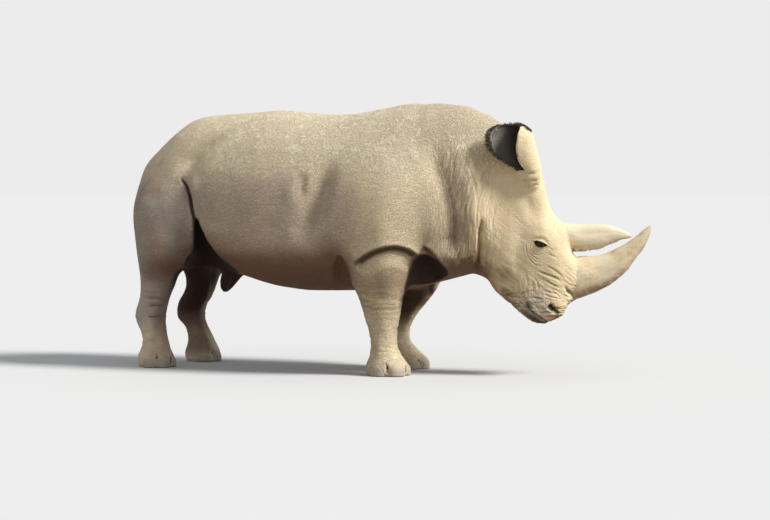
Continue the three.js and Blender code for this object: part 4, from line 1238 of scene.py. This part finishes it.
def ear_fringe(side, chance):
    """Bristles along the rear, top and lower rim of an ear."""
    strands = []
    for _ in range(FRINGE_COUNT):
        part = chance.random()
        if part < 0.5:
            height = 1.285 + 0.285 * chance.random() ** 0.8
            share = 0.02 * chance.random()
        elif part < 0.66:
            height = 1.535 + 0.04 * chance.random()
            share = 0.66 + 0.22 * chance.random()
        else:
            height = 1.556 + 0.022 * chance.random()
            share = chance.random() ** 0.8
        root = ear_point(height, share, 0.004 * chance.random(), side)
        line = EAR(height)
        centre = LEVEL.outside(np.array([line[0], side * line[1], height]))
        low = 1 - ramp(height, 1.34, 1.48)
        top = ramp(height, 1.50, 1.57) * (share > 0.03)
        way = 0.7 * unit(root - centre) - (0.9 - 0.7 * top) * LEVEL.rows[0]
        way += np.array([0, 0, 0.1 + 0.6 * top - 0.5 * low]) + 0.22 * chance.standard_normal(3)
        length = (0.032 + 0.020 * chance.random()) * (1 - 0.62 * low) * (1 - 0.45 * top)
        length *= 0.6 if share > 0.6 else 1
        strands.append((root, way, length, *FRINGE_FORM))
    return strands


def tail_bristles(chance):
    """The flat tuft at the tail's end."""
    low, high = corners("tail_tuft")
    size, centre = high - low, (low + high) / 2
    strands = []
    for _ in range(TUFT_COUNT):
        at = chance.random()
        angle = 2 * math.pi * chance.random()
        out = 0.42 * math.sqrt(chance.random())
        root = np.array([
            centre[0] + out * size[0] * 0.55 * math.cos(angle),
            centre[1] + out * size[1] * 0.62 * math.sin(angle),
            high[2] + TUFT_RISE - 0.75 * at * size[2],
        ])
        spread = 0.30 * (root - centre) / size
        way = np.array([spread[0], 0.55 * spread[1], -1.0]) + 0.05 * chance.standard_normal(3)
        length = (root[2] - low[2]) * (0.72 + 0.26 * chance.random())
        strands.append((root, way, length, *TUFT_FORM))
    return strands


def lashes(side, chance):
    eye = eye_frame(side)
    strands = []
    for i in range(LASH_COUNT):
        x = EYE_HALF[0] * (-0.75 + 1.5 * i / (LASH_COUNT - 1))
        lid = -1 if i % 4 == 0 else 1
        y = lid * float(opening(x, lid))
        root = eye.outside([x, y * 1.05, math.sqrt(max(EYE_RADIUS**2 * 1.3 - x * x - y * y, 0)) - 0.001])
        lift = 0.15 if lid > 0 else -0.3
        way = np.array([0.5 * x / EYE_HALF[0], lift, 0.9]) @ eye.rows
        way += 0.12 * chance.standard_normal(3) + np.array([0, 0, -0.15])
        strands.append((root, way, 0.010 + 0.005 * chance.random(), *LASH_FORM))
    return strands


def add_hair():
    chance = np.random.default_rng(11)
    for name, side in SIDES:
        bristles(f"ear_fringe_{name}", ear_fringe(side, chance))
        bristles(f"lashes_{name}", lashes(side, chance))
    bristles("tail_bristles", tail_bristles(chance), ["tail_tuft"])


# ---------------------------------------------------------------- the whole animal
CARVED_ROUND = 0.011          # how far the edges that the hollows leave are rounded
HEAD_ROUND = (0.004, 0.0015)  # the same for the head, after its faces are divided and divided again
FEET_TOP = 0.17               # height below which the feet have smaller faces
LIDS_REACH = 0.055            # how far from the middle of an eye the smallest faces reach


def sculpted(skin, *steps):
    """Shapes the skin step by step, and gives back its last state."""
    shape = Sculpture(skin)
    for step in steps:
        step(shape)
        shape.write()
    return shape


def main():
    skin = bare_skin()
    soften(skin, rounding)
    for side in (-1, 1):
        for name in HOLLOWS:
            combine(skin, blade(name, side), "DIFFERENCE")
    remesh(skin)
    soften(skin, lambda points: np.full(len(points), CARVED_ROUND))
    refine(skin, head_zone)
    refine(skin, lambda points: points[:, 2] < FEET_TOP)
    refine(skin, fold_zone)
    soften(skin, lambda points: HEAD_ROUND[0] * over_head(points) + 1e-9, VOXEL / 2)
    sculpted(skin, body_folds)
    refine(skin, face_zone)
    refine(skin, lambda points: near_eye(points, LIDS_REACH))
    soften(skin, lambda points: HEAD_ROUND[1] * over_head(points) + 1e-9, VOXEL / 4)
    sculpted(skin, head_folds, brows, eyelids)
    add_ears(skin)
    shape = Sculpture(skin)
    ear_folds(shape)
    paint(shape)
    shape.write()
    print("skin", len(skin.data.vertices), len(skin.data.polygons))
    skin.data.materials.clear()
    skin.data.materials.append(hide_material())
    flesh = FLESH + [f"{part}_{leg}" for part in ("leg", "foot") for leg in LEGS] + ["ear_left", "ear_right"]
    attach(skin, "root")
    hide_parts(*flesh)
    for name in HORNS:
        horn(name)
    for name, side in SIDES:
        eyeball(name, side)
    for leg in LEGS:
        for toe in TOES:
            nail(leg, toe, shape)
    add_hair()
    stage()
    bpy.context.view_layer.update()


# ---------------------------------------------------------------- materials
class Graph:
    """Builds a material's nodes from plain calls; its colour is laid on in coats."""

    def __init__(self, name, color):
        self.material = bpy.data.materials.new(name)
        self.material.use_nodes = True
        self.tree = self.material.node_tree
        self.place = self.add("ShaderNodeTexCoord").outputs["Object"]
        self.color = color

    def add(self, kind, inputs=None, **settings):
        node = self.tree.nodes.new(kind)
        for name, value in settings.items():
            setattr(node, name, value)
        for key, value in (inputs or {}).items():
            self.feed(node.inputs[key], value)
        return node

    def feed(self, socket, value):
        if isinstance(value, bpy.types.NodeSocket):
            self.tree.links.new(value, socket)
        else:
            socket.default_value = value

    def noise(self, scale, detail, roughness, place=None, distortion=0.0):
        inputs = {"Vector": place or self.place, "Scale": scale, "Detail": detail}
        inputs |= {"Roughness": roughness, "Distortion": distortion}
        return self.add("ShaderNodeTexNoise", inputs).outputs["Fac"]

    def cells(self, scale, place):
        inputs = {"Vector": place, "Scale": scale}
        return self.add("ShaderNodeTexVoronoi", inputs, feature="DISTANCE_TO_EDGE").outputs["Distance"]

    def math(self, how, a, b=0.0):
        return self.add("ShaderNodeMath", {0: a, 1: b}, operation=how).outputs[0]

    def times(self, first, *others):
        for other in others:
            first = self.math("MULTIPLY", first, other)
        return first

    def span(self, value, low, high, to_low=0.0, to_high=1.0):
        inputs = {"Value": value, "From Min": low, "From Max": high, "To Min": to_low, "To Max": to_high}
        return self.add("ShaderNodeMapRange", inputs, interpolation_type="SMOOTHSTEP").outputs[0]

    def flat(self, value, start, first, last, end):
        """1 from `first` to `last`, falling smoothly to 0 at `start` and `end`."""
        return self.times(self.span(value, start, first), self.span(value, end, last))

    def mix(self, share, a, b):
        node = self.add("ShaderNodeMix", {0: share}, data_type="RGBA", clamp_factor=True)
        for key, color in ((6, a), (7, b)):
            self.feed(node.inputs[key], color if isinstance(color, bpy.types.NodeSocket) else (*color, 1))
        return node.outputs[2]

    def coat(self, color, *shares):
        """Lays a colour over what is there, as thick as its shares, multiplied."""
        self.color = self.mix(self.times(*shares), self.color, color)

    def mark(self, name):
        return self.add("ShaderNodeAttribute", attribute_name=name).outputs["Fac"]

    def stretched(self, scale, turn=(0, 0, 0)):
        inputs = {"Vector": self.place, "Scale": scale, "Rotation": turn}
        return self.add("ShaderNodeMapping", inputs).outputs[0]

    def vectors(self, how, inputs):
        return self.add("ShaderNodeVectorMath", inputs, operation=how).outputs[0]

    def warped(self, amount, scale):
        inputs = {"Vector": self.place, "Scale": scale, "Detail": 3}
        offset = self.add("ShaderNodeTexNoise", inputs).outputs["Color"]
        centred = self.vectors("SUBTRACT", {0: offset, 1: (0.5, 0.5, 0.5)})
        return self.vectors("ADD", {0: self.place, 1: self.vectors("SCALE", {0: centred, 3: amount})})

    def bumps(self, *layers):
        """The normal, with layers of [height, distance, strength] on top of each other."""
        normal = None
        for height, distance, strength in layers:
            inputs = {"Height": height, "Distance": distance, "Strength": strength}
            if normal is not None:
                inputs["Normal"] = normal
            normal = self.add("ShaderNodeBump", inputs).outputs[0]
        return normal

    def finish(self, inputs):
        shader = self.tree.nodes["Principled BSDF"]
        for name, value in {"Base Color": self.color, **inputs}.items():
            self.feed(shader.inputs[name], value)
        return self.material


def hide_material():
    g = Graph("hide", (0.70, 0.575, 0.40))
    patch = g.noise(6.0, 6, 0.65)
    grain = g.noise(75.0, 5, 0.65)
    face = g.mark("face")
    ahead, _, up = g.add("ShaderNodeSeparateXYZ", {0: g.place}).outputs
    g.coat((0.80, 0.665, 0.46), g.span(g.noise(1.7, 5, 0.6), 0.35, 0.65))
    g.coat((0.58, 0.48, 0.37), g.span(patch, 0.45, 0.72, 0.0, 0.4))
    g.coat((0.93, 0.81, 0.58), g.span(up, 1.05, 1.50, 0.0, 0.65))
    # the shoulder, paler with painted light; the hump; the face, paler and partly with painted light, with
    # its streaked cheek; and the flank
    g.coat((0.92, 0.775, 0.54), g.flat(ahead, -0.10, 0.10, 0.40, 0.60), g.span(up, 1.50, 1.25), 0.75)
    g.coat((0.60, 0.505, 0.37), g.span(ahead, 0.05, 0.30), g.span(up, 1.40, 1.58), 0.6)
    g.coat((0.97, 0.805, 0.535), face, 0.85)
    streaks = g.span(g.noise(8.0, 4, 0.6, g.stretched((1.3, 1.3, 0.35))), 0.47, 0.64, 0.0, 0.45)
    g.coat((0.72, 0.55, 0.37), streaks, face, g.span(up, 1.30, 1.00))
    flank = g.mix(g.span(patch, 0.4, 0.6), (0.68, 0.545, 0.44), (0.61, 0.495, 0.41))
    g.coat(flank, g.span(ahead, 0.15, -0.12), g.span(up, 1.40, 1.10), 0.8)

    # the lie of the skin: level wrinkles on the flanks and legs, upright ones on the neck
    level = g.noise(26.0, 5, 0.6, g.stretched((1, 1, 4.0)), 0.5)
    upright = g.noise(34.0, 5, 0.6, g.stretched((1.6, 1.6, 0.28)), 0.4)
    neck = g.mark("neck")
    height = g.add("ShaderNodeMix", {0: neck, 2: level, 3: upright}, data_type="FLOAT").outputs[0]
    furrow = g.span(g.math("ABSOLUTE", g.math("SUBTRACT", height, 0.5)), 0.0, 0.09)
    rough = g.span(face, 0.0, 1.0, 1.0, 0.40)
    # painted shade in the furrows of the wrinkles and in the cracks between the pebbles
    g.coat((0.17, 0.125, 0.09), g.math("SUBTRACT", 1.0, furrow), g.span(neck, 0.0, 1.0, 0.16, 0.26), rough)
    pebbles = g.cells(62.0, g.warped(0.02, 22.0))
    g.coat((0.19, 0.145, 0.10), g.span(pebbles, 0.0, 0.12, 0.20, 0.0), rough)
    g.coat((0.60, 0.51, 0.38), g.span(grain, 0.50, 0.78, 0.0, 0.30), rough)

    # dried mud over the back, cracked into flakes
    muddy = g.mark("mud")
    flakes = g.span(g.noise(20.0, 6, 0.75, g.place, 0.6), 0.47, 0.53)
    mud = g.times(muddy, g.span(g.noise(4.2, 6, 0.75), 0.43, 0.53), flakes)
    caked = g.times(mud, g.span(g.cells(60.0, g.warped(0.02, 24.0)), 0.0, 0.12, 0.45, 1.0))
    g.coat((0.80, 0.69, 0.515), muddy, 0.5)
    g.coat((0.30, 0.235, 0.17), g.math("SUBTRACT", mud, caked), 0.5)
    g.coat((1.0, 0.905, 0.66), caked, 0.95)

    # the hindquarters: grey, paler down the shank with painted sunlight on the lower shank and the foot, and
    # rusty in places; then the belly, darkened with painted shade
    grey = g.span(patch, 0.30, 0.62, 0.35, 0.75)
    g.coat((0.37, 0.34, 0.32), g.span(ahead, -0.90, -1.18), g.span(up, 1.36, 1.05), grey)
    g.coat((0.70, 0.635, 0.585), g.span(up, 0.66, 0.50), g.span(ahead, -1.05, -1.2), 0.65)
    g.coat((1.0, 0.87, 0.64), g.span(up, 0.36, 0.20), g.span(ahead, -1.05, -1.2), 0.95)
    g.coat((0.42, 0.25, 0.18), g.span(g.noise(3.4, 3, 0.5), 0.52, 0.66), g.span(ahead, -1.0, -1.2), 0.35)
    belly = g.times(g.flat(up, 0.30, 0.50, 0.60, 0.90), g.flat(ahead, -1.12, -0.92, -0.12, 0.05))
    g.coat((0.32, 0.21, 0.155), belly, 0.55)

    # lips are pale and spot is rust; under is painted shade, ear the cup's own grey, pit near-black painted
    # shade in hollows
    for name, strength, color in (
        ("lips", 0.85, (0.90, 0.80, 0.68)),
        ("under", 0.88, (0.185, 0.090, 0.058)),
        ("spot", 0.80, (0.90, 0.56, 0.27)),
        ("ear", 1.00, (0.20, 0.185, 0.17)),
        ("pit", 0.95, (0.026, 0.011, 0.008)),
    ):
        g.coat(color, g.mark(name), strength)
    # painted shade in creases; dark is near-black painted shade in openings, clefts and under folds, and also
    # the dark skin at the eyes and the ear's dark hair
    g.coat((0.125, 0.088, 0.062), g.span(g.mark("crease"), 0.15, 1.0, 0.0, 0.72))
    g.coat((0.030, 0.022, 0.018), g.mark("dark"), 0.92)

    normal = g.bumps(
        (g.times(g.noise(11.0, 6, 0.6), rough), 0.010, 0.45),
        (g.times(furrow, rough), 0.0044, 0.6),
        (g.times(g.span(pebbles, 0.0, 0.14), rough), 0.0030, 0.6),
        (grain, 0.0018, 0.5),
        (caked, 0.004, 0.7),
    )
    return g.finish({"Roughness": 0.86, "Normal": normal, "Specular IOR Level": 0.25})


def horn_material(paler):
    g = Graph("horn", (0.86, 0.735, 0.51))
    along = g.mark("along")
    fibres = g.noise(60.0, 5, 0.65, g.stretched((0.35, 1.2, 1.0), (0, 0.5, 0)))
    g.coat((0.74, 0.60, 0.40), g.span(g.noise(9.0, 4, 0.6), 0.35, 0.70))
    g.coat((0.42, 0.32, 0.20), g.span(fibres, 0.45, 0.70, 0.0, 0.40))
    stain_and_shade = g.span(g.noise(16.0, 5, 0.7), 0.50, 0.66)
    g.coat((0.56, 0.34, 0.155), stain_and_shade, g.flat(along, 0.30, 0.50, 0.70, 0.92), 0.75)
    g.coat((0.80, 0.71, 0.55), g.flat(along, 0.26, 0.34, 0.38, 0.46), 0.6)
    g.coat((0.90, 0.81, 0.61), paler)
    below = g.times(g.mark("below"), g.span(g.noise(26.0, 5, 0.65), 0.28, 0.55))
    g.coat((0.16, 0.082, 0.042), below, g.span(along, 0.28, 0.52, 0.85, 0.30))
    normal = g.bumps((fibres, 0.003, 0.6))
    roughness = g.span(fibres, 0.3, 0.7, 0.50, 0.70)
    return g.finish({"Roughness": roughness, "Normal": normal, "Specular IOR Level": 0.35})


def eye_material():
    g = Graph("eye", (0.045, 0.024, 0.018))
    ahead = g.mark("iris")
    iris = g.mix(g.span(g.noise(420.0, 3, 0.6), 0.35, 0.65), (0.022, 0.010, 0.005), (0.010, 0.005, 0.003))
    g.coat(iris, g.span(ahead, 0.80, 0.84))
    g.coat((0.004, 0.004, 0.004), g.span(ahead, 0.945, 0.955))
    gloss = {"Coat Weight": 0.12, "Coat Roughness": 0.05, "Specular IOR Level": 0.15}
    return g.finish({"Roughness": 0.16, **gloss})


def nail_material():
    g = Graph("nail", (0.52, 0.46, 0.37))
    growth = g.noise(55.0, 4, 0.6, g.stretched((0.5, 0.5, 1.6)))
    upright = g.noise(90.0, 3, 0.6, g.stretched((1, 1, 0.15)))
    g.coat((0.41, 0.365, 0.31), g.span(growth, 0.35, 0.65))
    g.coat((0.56, 0.46, 0.33), g.span(g.add("ShaderNodeSeparateXYZ", {0: g.place}).outputs[2], 0.030, 0.075))
    g.coat((0.50, 0.44, 0.35), g.span(upright, 0.5, 0.75, 0.0, 0.5))
    return g.finish({"Roughness": 0.62, "Normal": g.bumps((growth, 0.002, 0.4), (upright, 0.001, 0.5))})


def hair_material():
    g = Graph("hair", (0.030, 0.023, 0.019))
    g.coat((0.090, 0.066, 0.050), g.noise(120.0, 3, 0.6))
    return g.finish({"Roughness": 0.55})


# ---------------------------------------------------------------- camera, floor and light
CAMERA_AT = (4.929, -12.067, 1.2)
CAMERA_LENS = 94.5
CAMERA_TURN = math.radians(22)
CAMERA_DIP = math.radians(2.125)
SUN_FROM = (0.76, 0.01, 0.645)
SUN_STRENGTH, SUN_ACROSS, SUN_COLOR = 3.7, math.radians(17), (1.0, 0.975, 0.93)
SKY_LIGHT, SKY_SEEN = 0.41, 0.84
FLOOR_SIZE, VIEW_END = 400, 300
FLOOR_SEEN, FLOOR_BOUNCE = (0.728, 0.743, 0.763), (0.36, 0.33, 0.28)


def stage():
    scene = bpy.context.scene
    camera = linked("camera", bpy.data.cameras.new("camera"))
    camera.data.lens = CAMERA_LENS
    camera.data.clip_end = VIEW_END
    camera.location = CAMERA_AT
    camera.rotation_euler = (math.pi / 2 - CAMERA_DIP, 0, CAMERA_TURN)
    scene.camera = camera

    bpy.ops.mesh.primitive_plane_add(size=FLOOR_SIZE)
    floor = bpy.context.object
    floor.name = "floor"
    floor.data.materials.append(pale_floor())

    sun = linked("sun", bpy.data.lights.new("sun", "SUN"))
    sun.data.energy = SUN_STRENGTH
    sun.data.angle = SUN_ACROSS
    sun.data.color = SUN_COLOR
    sun.rotation_euler = Vector(SUN_FROM).to_track_quat("Z", "Y").to_euler()
    scene.world = pale_world()
    scene.view_settings.view_transform = "Standard"


def seen_directly(tree):
    """1 for rays from the camera and those that gloss and glass send out, 0 for the light on the model."""
    path = tree.nodes.new("ShaderNodeLightPath")
    seen = path.outputs["Is Camera Ray"]
    for name in ("Is Glossy Ray", "Is Transmission Ray"):
        either = tree.nodes.new("ShaderNodeMath")
        either.operation = "MAXIMUM"
        tree.links.new(seen, either.inputs[0])
        tree.links.new(path.outputs[name], either.inputs[1])
        seen = either.outputs[0]
    return seen


def pale_floor():
    g = Graph("floor", FLOOR_BOUNCE)
    g.coat(FLOOR_SEEN, seen_directly(g.tree))
    return g.finish({"Roughness": 1.0, "Specular IOR Level": 0.0})


def pale_world():
    """Soft light from all round; what the camera sees of it, and what gloss and glass mirror, is paler."""
    world = bpy.data.worlds.new("world")
    world.use_nodes = True
    tree = world.node_tree
    ground = tree.nodes["Background"]
    strength = tree.nodes.new("ShaderNodeMapRange")
    strength.inputs["To Min"].default_value = SKY_LIGHT
    strength.inputs["To Max"].default_value = SKY_SEEN
    tree.links.new(seen_directly(tree), strength.inputs["Value"])
    tree.links.new(strength.outputs[0], ground.inputs["Strength"])
    ground.inputs["Color"].default_value = (1, 1, 1, 1)
    return world


main()
